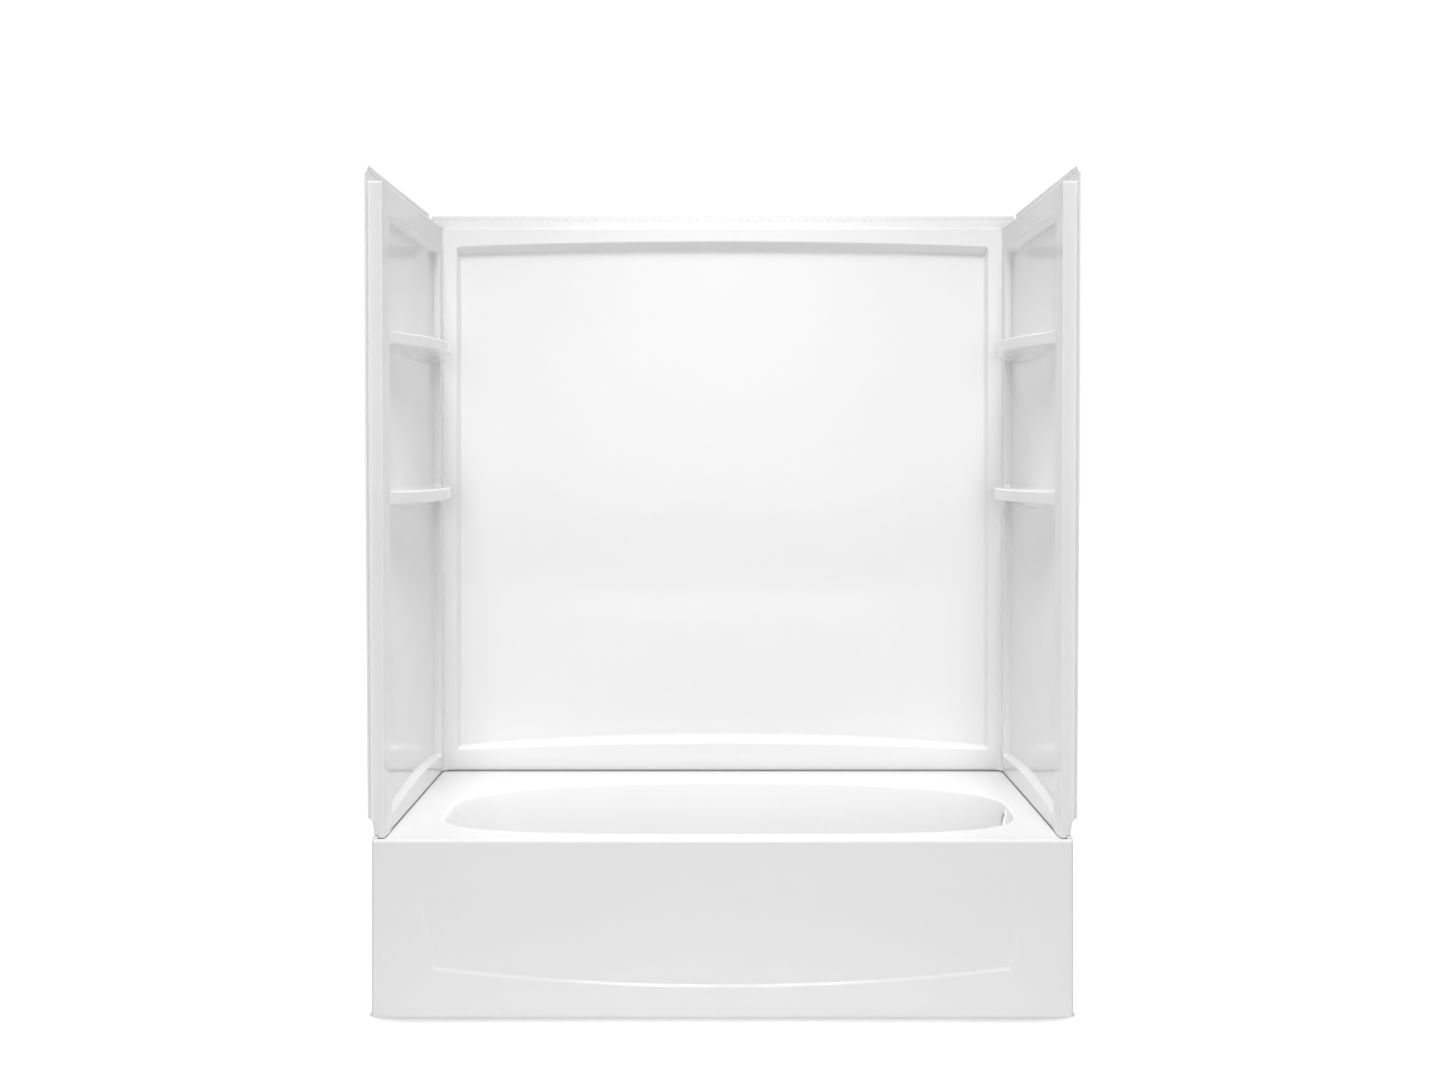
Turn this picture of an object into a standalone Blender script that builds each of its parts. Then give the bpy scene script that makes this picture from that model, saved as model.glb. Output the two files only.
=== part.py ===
"""Tub and shower unit: a moulded alcove bath under a three-piece wall surround.

The frame is in metres. X runs along the bath, the apron faces -Y and +Z is up.
The origin is on the floor, midway along the bath and midway from apron to back.
The end walls lean outwards a little, so their pieces hang on two leaning empties.
"""
import math

import bmesh
import bpy
from mathutils import Vector

# Clearances
FIT_GAP = 0.0003
OVERRUN = 0.010
WELD_SHARE = 0.0025

# Bath shell
BATH_LENGTH = 1.498
UNIT_DEPTH = 0.762
DECK_HEIGHT = 0.377
BATH_WALL = 0.005
APRON_RADIUS = 0.0065
APRON_RETURN = 0.030
BEAD_WIDTH = 0.012
BEAD_HEIGHT = 0.006
UPSTAND_WALL = 0.004
UPSTAND_HEIGHT = 0.028
UPSTAND_SETBACK = 0.041

# Stiffening ribs moulded under the bath
RIB_WALL = 0.004
APRON_RIB_DEPTH = 0.024
APRON_RIB_PITCH = 0.230
DECK_RIB_DROP = 0.032
DECK_RIB_PITCH = 0.300

# Relief moulded in the apron
RELIEF_FLUSH_DROP = 0.115
RELIEF_END_MARGIN = 0.100
RELIEF_SPREAD = 0.031
RELIEF_END_HEIGHT = 0.101
RELIEF_MID_HEIGHT = 0.063
RELIEF_DEPTH = 0.007
RELIEF_LEDGE = 0.006
RELIEF_CORNER = 0.026

# Basin
FRONT_RIM = 0.061
REAR_RIM = 0.170
LOUNGE_RIM = 0.094
DRAIN_RIM = 0.080
RIM_RADIUS = 0.012
FLOOR_HEIGHT = 0.059
FLOOR_RADIUS = 0.070
FLOOR_FALL = 0.008
LOUNGE_SLOPE_SHARE = 0.52
DRAIN_SLOPE_SHARE = 0.15
FRONT_SLOPE_SHARE = 0.14
REAR_SLOPE_SHARE = 0.17
FRONT_FULLNESS_SHARE = 4.0
REAR_FULLNESS_SHARE = 2.3
BASIN_GROWTH_SHARE = 0.9

# Drain and overflow
DRAIN_INSET = 0.055
DRAIN_DIAMETER = 0.052
DRAIN_RECESS_DIAMETER = 0.090
DRAIN_RECESS_DEPTH = 0.003
DRAIN_BOSS_DIAMETER = 0.112
DRAIN_BOSS_DROP = 0.004
OVERFLOW_DROP = 0.042
OVERFLOW_DIAMETER = 0.050
OVERFLOW_BOSS_DIAMETER = 0.066
OVERFLOW_BOSS_DEPTH = 0.004

# Bedding pad under the basin
PAD_LOUNGE_REACH = 0.046
PAD_SIDE_REACH = 0.055
PAD_RISE = 0.026
PAD_CHAMFER = 0.012
PAD_DRAIN_CLEARANCE = 0.030

# Wall panels
PANEL_WALL = 0.004
LEDGE_HEIGHT = 1.786
FLANGE_HEIGHT = 0.034
FLANGE_FOOT_RISE = 0.034
EDGE_RADIUS = 0.006
FOOT_RADIUS = 0.003
FOOT_DEPTH = 0.014
PANEL_CORNER = 0.004
SPLAY = 0.005

# Back wall
BACK_WALL_SET = 0.045
BACK_FLANGE_LAP = 0.001
CORNER_GAP = 0.0028
BACK_BORDER = 0.0347
BACK_RECESS_DEPTH = 0.013
BACK_RECESS_DRAFT = 0.008
BACK_HEAD_MID_DROP = 0.035
BACK_HEAD_END_DROP = 0.0493
BACK_FIELD_HEAD_MID_DROP = 0.0654
BACK_FIELD_HEAD_END_DROP = 0.0693
BACK_FOOT_MID_RISE = 0.0718
BACK_FOOT_END_RISE = 0.055
BACK_FIELD_FOOT_MID_RISE = 0.0975
BACK_FIELD_FOOT_END_RISE = 0.0663
RECESS_CORNER = 0.012

# End walls, measured along Y from the apron plane and out from their own face
END_FACE_SETBACK = 0.0285
END_WALL_SET = 0.0395
COLUMN_SETBACK = 0.022
COLUMN_RADIUS = 0.009
END_REAR_GAP = 0.003
FRONT_FLANGE_REACH = 0.020
HEAD_FLANGE_SETBACK = 0.048
FLANGE_CHAMFER_RUN = 0.022
FLANGE_CHAMFER_DROP = 0.018
END_RECESS_FRONT = 0.069
END_RECESS_REAR_MARGIN = 0.083
END_RECESS_DEPTH = 0.013
END_RECESS_DRAFT = 0.009
END_HEAD_MID_DROP = 0.045
END_HEAD_END_DROP = 0.052
END_FIELD_HEAD_MID_DROP = 0.059
END_FIELD_HEAD_END_DROP = 0.064
END_FOOT_FRONT_RISE = 0.035
END_FOOT_MID_RISE = 0.053
END_FOOT_REAR_RISE = 0.047
END_FIELD_FOOT_FRONT_RISE = 0.050
END_FIELD_FOOT_MID_RISE = 0.069
END_FIELD_FOOT_REAR_RISE = 0.055

# Shelves moulded in the end walls
UPPER_SHELF_DROP = 0.3174
SHELF_SPACING = 0.3506
SHELF_THICKNESS = 0.0275
SHELF_FRONT = 0.065
SHELF_REAR_MARGIN = 0.072
SHELF_BULGE = 0.068
SHELF_COVE = 0.022
SHELF_EDGE = 0.004
SHELF_COVE_SHARES = ((0.35, 0.32), (0.72, 0.10), (1.0, 0.0))
COVE_SINK_SHARE = 0.125

# Nailing slots along the top flanges
SLOT_PITCH = 0.019
SLOT_LENGTH = 0.009
SLOT_WIDTH = 0.0035
SLOT_DROP = 0.012
SLOT_END_MARGIN = 0.009

# Seals between the walls and the deck and down the corners
SEAL_HEIGHT = 0.0017
SEAL_SETBACK = 0.0025
CORNER_SEAL_SETBACK = 0.002
CORNER_SEAL_WIDTH = 0.013

# Clips and their screws
CLIP_WALL = 0.0012
CORNER_CLIP_LENGTH = 0.040
CORNER_CLIP_GRIP = 0.010
CORNER_CLIP_FOOT = 0.020
CORNER_CLIP_HEIGHT_SHARES = (0.10, 0.50, 0.90)
DECK_CLIP_LENGTH = 0.032
DECK_CLIP_HEADROOM = 0.002
BACK_CLIP_SHARES = (-0.7, 0.0, 0.7)
END_CLIP_SHARES = (-0.5, 0.5)
SCREW_DIAMETER = 0.004
SCREW_HEAD_DIAMETER = 0.008
SCREW_HEAD_HEIGHT = 0.0024
SCREW_LENGTH = 0.0044
SCREW_CROWN_SHARE = 0.6
SCREW_SHOULDER_SHARE = 0.5

# Shading and facet counts
SHARP_ANGLE = math.radians(32)
BASIN_POINTS = 64
EDGE_STEPS = 3
CORNER_STEPS = 4
BACK_ALONG = 16
END_ALONG = 12
PANEL_UP = 3
SHELF_POINTS = 14
RELIEF_POINTS = 20
ROUND_POINTS = 24
SCREW_POINTS = 12

# Places that follow from the sizes above
HALF_LENGTH = BATH_LENGTH / 2
HALF_DEPTH = UNIT_DEPTH / 2
APRON_Y = -HALF_DEPTH
BACK_Y = HALF_DEPTH
UPSTAND_TOP = DECK_HEIGHT + UPSTAND_HEIGHT
RELIEF_FLUSH_HEIGHT = DECK_HEIGHT - RELIEF_FLUSH_DROP
RELIEF_HALF_TOP = HALF_LENGTH - RELIEF_END_MARGIN
RELIEF_HALF_FOOT = RELIEF_HALF_TOP - RELIEF_SPREAD
BASIN_DEPTH = DECK_HEIGHT - FLOOR_HEIGHT
PANEL_FOOT = DECK_HEIGHT + SEAL_HEIGHT + 2 * FIT_GAP
FLANGE_TOP = LEDGE_HEIGHT + FLANGE_HEIGHT
END_FACE_HALF = HALF_LENGTH - END_FACE_SETBACK
BACK_FLANGE_HALF = END_FACE_HALF + END_WALL_SET + BACK_FLANGE_LAP
BACK_FACE_Y = BACK_Y - BACK_WALL_SET
BACK_FACE_HALF = END_FACE_HALF - CORNER_GAP
BACK_RECESS_HALF = BACK_FACE_HALF - BACK_BORDER
END_FRONT_Y = APRON_Y + COLUMN_SETBACK
END_REAR_Y = BACK_Y - BEAD_WIDTH - END_REAR_GAP
END_RECESS_FRONT_Y = APRON_Y + END_RECESS_FRONT
END_RECESS_REAR_Y = BACK_Y - END_RECESS_REAR_MARGIN
SHELF_FRONT_Y = APRON_Y + SHELF_FRONT
SHELF_REAR_Y = BACK_Y - SHELF_REAR_MARGIN
UPPER_SHELF_TOP = LEDGE_HEIGHT - UPPER_SHELF_DROP
LOWER_SHELF_TOP = UPPER_SHELF_TOP - SHELF_SPACING
SPLAY_ANGLE = math.atan2(SPLAY, LEDGE_HEIGHT - DECK_HEIGHT)
FLANGE_FOOT = DECK_HEIGHT + FLANGE_FOOT_RISE
BASIN_LEFT = -HALF_LENGTH + LOUNGE_RIM
BASIN_RIGHT = HALF_LENGTH - DRAIN_RIM
BASIN_FRONT = APRON_Y + FRONT_RIM
BASIN_REAR = BACK_Y - REAR_RIM
BASIN_MID_X = (BASIN_LEFT + BASIN_RIGHT) / 2
BASIN_MID_Y = (BASIN_FRONT + BASIN_REAR) / 2


# Scene set-up

def clear_scene():
    """Remove whatever objects the file holds."""
    for item in list(bpy.data.objects):
        bpy.data.objects.remove(item, do_unlink=True)


def new_collection(name):
    """A collection linked under the scene's own."""
    collection = bpy.data.collections.new(name)
    bpy.context.scene.collection.children.link(collection)
    return collection


def make_material(name, colour, roughness, metallic=0.0):
    """A Principled material of one colour."""
    material = bpy.data.materials.new(name)
    material.use_nodes = True
    shader = material.node_tree.nodes["Principled BSDF"]
    shader.inputs["Base Color"].default_value = (*colour, 1.0)
    shader.inputs["Roughness"].default_value = roughness
    shader.inputs["Metallic"].default_value = metallic
    return material


def add_object(name, mesh, collection, parent=None):
    """An object for a mesh, hung on an empty where one is given."""
    item = bpy.data.objects.new(name, mesh)
    collection.objects.link(item)
    item.parent = parent
    return item


def finish_mesh(mesh, material):
    """Give a mesh its material and smooth shading with crisp edges."""
    mesh.materials.clear()
    mesh.materials.append(material)
    mesh.shade_smooth()
    mesh.set_sharp_from_angle(angle=SHARP_ANGLE)


def finish_part(item, material):
    """Finish a node's own mesh."""
    finish_mesh(item.data, material)


def as_tool(item):
    """Mark a Boolean's operand as a guide that isn't part of the object."""
    item.hide_render = True
    item.display_type = "WIRE"
    return item


def combine(target, operand, operation):
    """Leave a Boolean on the target for one operand."""
    modifier = target.modifiers.new(f"{operation.lower()}_{operand.name}", "BOOLEAN")
    modifier.operation = operation
    modifier.solver = "EXACT"
    modifier.object = operand


def join(target, operand):
    combine(target, operand, "UNION")


def cut(target, operand):
    combine(target, operand, "DIFFERENCE")


# Basic solids

def mesh_from(name, builder):
    """Make a mesh and fill it with a bmesh function."""
    mesh = bpy.data.meshes.new(name)
    shape = bmesh.new()
    builder(shape)
    shape.to_mesh(mesh)
    shape.free()
    return mesh


def add_box(shape, low, high):
    """Add a box between two corners to a bmesh and return its vertices."""
    low, high = Vector(low), Vector(high)
    made = bmesh.ops.create_cube(shape, size=1.0)["verts"]
    bmesh.ops.scale(shape, verts=made, vec=high - low)
    bmesh.ops.translate(shape, verts=made, vec=(high + low) / 2)
    return made


def box_mesh(name, *corners):
    """A mesh of one or more boxes, each given by two corners."""
    def build(shape):
        for low, high in corners:
            add_box(shape, low, high)
    return mesh_from(name, build)


def loft_mesh(name, rings):
    """A closed solid through rings of equal count, with flat caps."""
    def build(shape):
        rows = [[shape.verts.new(point) for point in ring] for ring in rings]
        count = len(rows[0])
        for lower, upper in zip(rows, rows[1:]):
            for index in range(count):
                after = (index + 1) % count
                shape.faces.new((lower[index], lower[after], upper[after], upper[index]))
        shape.faces.new(rows[0][::-1])
        shape.faces.new(rows[-1])
        bmesh.ops.recalc_face_normals(shape, faces=shape.faces)
    return mesh_from(name, build)


def cylinder_mesh(name, start, end, diameter, points=ROUND_POINTS):
    """A cylinder between two points."""
    start, end = Vector(start), Vector(end)
    axis = end - start

    def build(shape):
        made = bmesh.ops.create_cone(shape, cap_ends=True, segments=points, radius1=diameter / 2,
                                     radius2=diameter / 2, depth=axis.length)["verts"]
        turn = Vector((0, 0, 1)).rotation_difference(axis).to_matrix()
        bmesh.ops.rotate(shape, verts=made, cent=(0, 0, 0), matrix=turn)
        bmesh.ops.translate(shape, verts=made, vec=(start + end) / 2)
    return mesh_from(name, build)


def plate_mesh(name, outline, thickness, place):
    """A flat outline given an even thickness. place maps (u, v, w) to a point."""
    curve = bpy.data.curves.new(name, "CURVE")
    curve.dimensions = "2D"
    curve.fill_mode = "BOTH"
    curve.extrude = thickness / 2
    spline = curve.splines.new("POLY")
    spline.points.add(len(outline) - 1)
    for point, (along, across) in zip(spline.points, outline):
        point.co = (along, across, 0, 1)
    spline.use_cyclic_u = True
    drawn = bpy.data.objects.new(name, curve)
    bpy.context.scene.collection.objects.link(drawn)
    bpy.context.view_layer.update()
    solid = drawn.evaluated_get(bpy.context.evaluated_depsgraph_get())
    mesh = bpy.data.meshes.new_from_object(solid)
    bpy.data.objects.remove(drawn)
    bpy.data.curves.remove(curve)
    mesh.name = name
    shape = bmesh.new()
    shape.from_mesh(mesh)
    bmesh.ops.remove_doubles(shape, verts=shape.verts, dist=thickness * WELD_SHARE)
    for vertex in shape.verts:
        vertex.co = place(*vertex.co)
    bmesh.ops.recalc_face_normals(shape, faces=shape.faces)
    shape.to_mesh(mesh)
    shape.free()
    return mesh


# Basin form

def superellipse(share, half_left, half_right, half_front, half_rear):
    """A point of the basin's outline about its own centre."""
    angle = share * math.tau
    run, rise = math.cos(angle), math.sin(angle)
    power = REAR_FULLNESS_SHARE if rise > 0 else FRONT_FULLNESS_SHARE
    reach = (abs(run) ** power + abs(rise) ** power) ** (-1 / power)
    half_x = half_right if run > 0 else half_left
    half_y = half_rear if rise > 0 else half_front
    return half_x * reach * run, half_y * reach * rise


def basin_inset(drop, slope):
    """How far a basin wall has moved in at some depth below the deck."""
    rim = min(drop, RIM_RADIUS)
    inset = math.sqrt(RIM_RADIUS ** 2 - (RIM_RADIUS - rim) ** 2)
    inset += slope * max(0.0, drop - RIM_RADIUS)
    into_floor = max(0.0, drop - (BASIN_DEPTH - FLOOR_RADIUS))
    return inset + FLOOR_RADIUS - math.sqrt(max(0.0, FLOOR_RADIUS ** 2 - into_floor ** 2))


def floor_height(x):
    """Height of the basin floor's inner face, which falls towards the drain."""
    share = (x - BASIN_LEFT) / (BASIN_RIGHT - BASIN_LEFT)
    return DECK_HEIGHT - BASIN_DEPTH - FLOOR_FALL * share


def basin_ring(drop, growth, sink, lift=0.0):
    """One level ring of the basin, grown outwards and sunk for its outer face."""
    halves = (
        BASIN_MID_X - BASIN_LEFT - basin_inset(drop, LOUNGE_SLOPE_SHARE) + growth,
        BASIN_RIGHT - BASIN_MID_X - basin_inset(drop, DRAIN_SLOPE_SHARE) + growth,
        BASIN_MID_Y - BASIN_FRONT - basin_inset(drop, FRONT_SLOPE_SHARE) + growth,
        BASIN_REAR - BASIN_MID_Y - basin_inset(drop, REAR_SLOPE_SHARE) + growth,
    )
    ring = []
    for index in range(BASIN_POINTS):
        x, y = superellipse(index / BASIN_POINTS, *halves)
        share = (BASIN_MID_X + x - BASIN_LEFT) / (BASIN_RIGHT - BASIN_LEFT)
        fall = FLOOR_FALL * share * drop / BASIN_DEPTH
        ring.append(Vector((BASIN_MID_X + x, BASIN_MID_Y + y, DECK_HEIGHT - drop - fall - sink + lift)))
    return ring


def basin_drops():
    """Depths of the rings: round the rim, down the wall, round the floor."""
    drops = [RIM_RADIUS * (1 - math.cos(step / EDGE_STEPS * math.pi / 2)) for step in range(EDGE_STEPS + 1)]
    wall_end = BASIN_DEPTH - FLOOR_RADIUS
    drops += [(RIM_RADIUS + wall_end) / 2, wall_end]
    floor_steps = EDGE_STEPS + 1
    drops += [wall_end + FLOOR_RADIUS * math.sin(step / floor_steps * math.pi / 2)
              for step in range(1, floor_steps + 1)]
    return drops


def basin_solid(name, growth, sink, top_lift):
    """The basin as a solid plug, from above the deck down to its floor."""
    rings = [basin_ring(0.0, growth, sink, top_lift)]
    rings += [basin_ring(drop, growth, sink) for drop in basin_drops()]
    return loft_mesh(name, rings)


# Bath pieces

def apron_block(shape):
    """The bath's outer block, rounded where the apron meets the deck and ends."""
    add_box(shape, (-HALF_LENGTH, APRON_Y, 0), (HALF_LENGTH, BACK_Y, DECK_HEIGHT))

    def is_front(edge):
        ends = [vertex.co for vertex in edge.verts]
        front = all(point.y < 0 for point in ends)
        upright = ends[0].x == ends[1].x
        return front and (upright or all(point.z > 0 for point in ends))

    edges = [edge for edge in shape.edges if is_front(edge)]
    bmesh.ops.bevel(shape, geom=edges, offset=APRON_RADIUS, segments=EDGE_STEPS, profile=0.5,
                    affect="EDGES")


def relief_outline():
    """The apron relief's foot arc, rounded corners and slanted sides, in X and Z."""
    rise = RELIEF_END_HEIGHT - RELIEF_MID_HEIGHT
    head = RELIEF_FLUSH_HEIGHT + RELIEF_CORNER
    lean = (RELIEF_HALF_TOP - RELIEF_HALF_FOOT) / (RELIEF_FLUSH_HEIGHT - RELIEF_END_HEIGHT)

    def foot(x):
        return RELIEF_MID_HEIGHT + rise * (x / RELIEF_HALF_FOOT) ** 2

    def side(z):
        return RELIEF_HALF_FOOT + lean * (z - RELIEF_END_HEIGHT)

    end = RELIEF_HALF_FOOT - RELIEF_CORNER
    points = [(x, foot(x)) for x in (end * (2 * step / RELIEF_POINTS - 1) for step in range(RELIEF_POINTS + 1))]
    start = Vector((end, foot(end)))
    knee = Vector((RELIEF_HALF_FOOT, foot(RELIEF_HALF_FOOT)))
    stop = Vector((side(RELIEF_END_HEIGHT + RELIEF_CORNER), RELIEF_END_HEIGHT + RELIEF_CORNER))
    bend = []
    for step in range(1, CORNER_STEPS + 1):
        share = step / CORNER_STEPS
        bend.append(tuple(start.lerp(knee, share).lerp(knee.lerp(stop, share), share)))
    right = bend + [(side(head), head)]
    left = [(-x, z) for x, z in right[::-1]]
    return points + right + left


def relief_solid(name, growth, outer_y):
    """The wedge inside the relief: flush at its head, deepest along its foot."""
    outline = [Vector(point) for point in relief_outline()]
    inner, outer = [], []
    slope = RELIEF_LEDGE / RELIEF_DEPTH
    for index, point in enumerate(outline):
        before, after = outline[index - 1], outline[(index + 1) % len(outline)]
        tangent = (after - before).normalized()
        outward = Vector((tangent.y, -tangent.x))
        share = (RELIEF_FLUSH_HEIGHT - point.y) / (RELIEF_FLUSH_HEIGHT - RELIEF_MID_HEIGHT)
        depth = RELIEF_DEPTH * share
        inner_at = point + outward * growth
        outer_at = inner_at + outward * (APRON_Y + depth + growth - outer_y) * slope
        inner.append(Vector((inner_at.x, APRON_Y + depth + growth, inner_at.y)))
        outer.append(Vector((outer_at.x, outer_y, outer_at.y)))
    return loft_mesh(name, [outer, inner])


def edge_strip(width, front_y):
    """Outline of a strip along the deck's two ends and back."""
    outer_x, inner_x = HALF_LENGTH, HALF_LENGTH - width
    return [(-outer_x, front_y), (-inner_x, front_y), (-inner_x, BACK_Y - width),
            (inner_x, BACK_Y - width), (inner_x, front_y), (outer_x, front_y),
            (outer_x, BACK_Y), (-outer_x, BACK_Y)]


def level_plate(name, outline, low, high):
    """A flat outline stood between two heights."""
    middle = (low + high) / 2
    return plate_mesh(name, outline, high - low, lambda x, y, z: Vector((x, y, z + middle)))


def drain_centre():
    """The drain's place on the basin floor."""
    floor_end = BASIN_RIGHT - basin_inset(BASIN_DEPTH, DRAIN_SLOPE_SHARE)
    return floor_end - DRAIN_INSET, BASIN_MID_Y


def overflow_axis():
    """The overflow's centre on the drain end wall, and the way out through it."""
    lean = math.atan(DRAIN_SLOPE_SHARE)
    x = BASIN_RIGHT - basin_inset(OVERFLOW_DROP, DRAIN_SLOPE_SHARE)
    centre = Vector((x, BASIN_MID_Y, DECK_HEIGHT - OVERFLOW_DROP))
    return centre, Vector((math.cos(lean), 0, -math.sin(lean)))


def rib_positions(pitch, half_span):
    """Places of evenly pitched ribs about the middle."""
    count = int(half_span / pitch)
    return [step * pitch for step in range(-count, count + 1)]


def bath_ribs():
    """Upright ribs behind the apron and ribs under the rear deck."""
    mid_deck = DECK_HEIGHT - BATH_WALL / 2
    half = RIB_WALL / 2
    lip_top = BATH_WALL / 2
    boxes = []
    for x in rib_positions(APRON_RIB_PITCH, HALF_LENGTH - APRON_RETURN):
        boxes.append(((x - half, APRON_Y + BATH_WALL / 2, lip_top),
                      (x + half, APRON_Y + BATH_WALL + APRON_RIB_DEPTH, mid_deck)))
    for x in rib_positions(DECK_RIB_PITCH, HALF_LENGTH - BEAD_WIDTH):
        boxes.append(((x - half, BASIN_REAR, DECK_HEIGHT - BATH_WALL - DECK_RIB_DROP),
                      (x + half, BACK_Y - BEAD_WIDTH, mid_deck)))
    return box_mesh("bath_ribs", *boxes)


def deck_screws():
    """Each deck clip screw as (place on the upstand's inner face, way out)."""
    height = (PANEL_FOOT + PANEL_WALL + UPSTAND_TOP) / 2
    places = []
    for share in BACK_CLIP_SHARES:
        places.append((Vector((share * BACK_FACE_HALF, BACK_Y - UPSTAND_WALL, height)), Vector((0, 1, 0))))
    for share in END_CLIP_SHARES:
        for side in (-1, 1):
            spot = Vector((side * (HALF_LENGTH - UPSTAND_WALL), share * HALF_DEPTH, height))
            places.append((spot, Vector((side, 0, 0))))
    return places


def make_bath(parts, tools):
    """The bath: one moulded shell of apron, deck, upstand and basin."""
    bath = add_object("bathtub", mesh_from("bathtub", apron_block), parts)
    mid_deck = DECK_HEIGHT - BATH_WALL / 2
    inner_x = HALF_LENGTH - BATH_WALL
    under = DECK_HEIGHT - BATH_WALL
    hollow = box_mesh("bath_hollow", ((-inner_x, APRON_Y + BATH_WALL, BATH_WALL),
                                      (inner_x, BACK_Y + OVERRUN, under)))
    underside = box_mesh("bath_underside", ((-HALF_LENGTH - OVERRUN, APRON_Y + APRON_RETURN, -OVERRUN),
                                            (HALF_LENGTH + OVERRUN, BACK_Y + OVERRUN, under)))
    for mesh in (hollow, underside):
        cut(bath, as_tool(add_object(mesh.name, mesh, tools)))

    drain_x, drain_y = drain_centre()
    drain_floor = floor_height(drain_x)
    boss_foot = drain_floor - BATH_WALL - DRAIN_BOSS_DROP
    overflow, outward = overflow_axis()
    boss_end = overflow + outward * (BATH_WALL + OVERFLOW_BOSS_DEPTH)
    joined = [
        level_plate("deck_bead", edge_strip(BEAD_WIDTH, APRON_Y + APRON_RADIUS), mid_deck,
                    DECK_HEIGHT + BEAD_HEIGHT),
        level_plate("deck_upstand", edge_strip(UPSTAND_WALL, APRON_Y + UPSTAND_SETBACK), mid_deck,
                    UPSTAND_TOP),
        relief_solid("relief_backing", BATH_WALL, APRON_Y + BATH_WALL / 2),
        bath_ribs(),
        basin_solid("basin_outer", BATH_WALL * BASIN_GROWTH_SHARE, BATH_WALL, BATH_WALL / 2),
        cylinder_mesh("drain_boss", (drain_x, drain_y, boss_foot), (drain_x, drain_y, drain_floor),
                      DRAIN_BOSS_DIAMETER),
        cylinder_mesh("overflow_boss", overflow - outward * BATH_WALL, boss_end, OVERFLOW_BOSS_DIAMETER),
    ]
    for mesh in joined:
        join(bath, as_tool(add_object(mesh.name, mesh, tools)))

    removed = [
        basin_solid("basin_inner", 0.0, 0.0, OVERRUN),
        relief_solid("apron_relief", 0.0, APRON_Y - OVERRUN),
        cylinder_mesh("drain_recess", (drain_x, drain_y, drain_floor - DRAIN_RECESS_DEPTH),
                      (drain_x, drain_y, drain_floor + OVERRUN), DRAIN_RECESS_DIAMETER),
        cylinder_mesh("drain_hole", (drain_x, drain_y, boss_foot - OVERRUN),
                      (drain_x, drain_y, drain_floor + OVERRUN), DRAIN_DIAMETER),
        cylinder_mesh("overflow_hole", overflow - outward * OVERRUN, boss_end + outward * OVERRUN,
                      OVERFLOW_DIAMETER),
    ]
    for mesh in removed:
        cut(bath, as_tool(add_object(mesh.name, mesh, tools)))
    cut(bath, as_tool(add_object("upstand_pilots", pilot_mesh(deck_screws()), tools)))
    return bath


def pilot_mesh(screws):
    """Blind pilot holes for a list of screws."""
    meshes = []
    depth = SCREW_LENGTH - CLIP_WALL
    for place, way in screws:
        meshes.append(cylinder_mesh("pilot", place - way * CLIP_WALL, place + way * depth,
                                    SCREW_DIAMETER + 2 * FIT_GAP, SCREW_POINTS))
    return merge_meshes("pilots", meshes)


def merge_meshes(name, meshes):
    """Put several meshes into one, as separate bodies."""
    def build(shape):
        for mesh in meshes:
            shape.from_mesh(mesh)
    made = mesh_from(name, build)
    for mesh in meshes:
        bpy.data.meshes.remove(mesh)
    return made


def make_pad(parts, tools):
    """The rigid foam pad that beds the basin on the floor."""
    drain_x, _ = drain_centre()
    right = drain_x - DRAIN_BOSS_DIAMETER / 2 - PAD_DRAIN_CLEARANCE
    left = BASIN_LEFT + basin_inset(BASIN_DEPTH, LOUNGE_SLOPE_SHARE) - PAD_LOUNGE_REACH
    front = BASIN_FRONT + basin_inset(BASIN_DEPTH, FRONT_SLOPE_SHARE) - PAD_SIDE_REACH
    rear = BASIN_REAR - basin_inset(BASIN_DEPTH, REAR_SLOPE_SHARE) + PAD_SIDE_REACH

    def build(shape):
        add_box(shape, (left, front, 0), (right, rear, FLOOR_HEIGHT + PAD_RISE))
        upright = [edge for edge in shape.edges if edge.verts[0].co.z != edge.verts[1].co.z]
        bmesh.ops.bevel(shape, geom=upright, offset=PAD_CHAMFER, segments=1, profile=0.5, affect="EDGES")

    pad = add_object("basin_support_pad", mesh_from("basin_support_pad", build), parts)
    growth = BATH_WALL * BASIN_GROWTH_SHARE + FIT_GAP
    seat = basin_solid("pad_seat", growth, BATH_WALL + FIT_GAP, BATH_WALL)
    cut(pad, as_tool(add_object("pad_seat", seat, tools)))
    return pad


# Moulded wall panels

def crown(values, share):
    """A shallow arc through three heights, for a share from -1 to 1."""
    low, middle, high = values
    return middle + (high - low) / 2 * share + ((low + high) / 2 - middle) * share ** 2


def rises(*values):
    """Heights above the deck."""
    return tuple(DECK_HEIGHT + value for value in values)


def drops(*values):
    """Heights below the ledge."""
    return tuple(LEDGE_HEIGHT - value for value in values)


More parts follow.
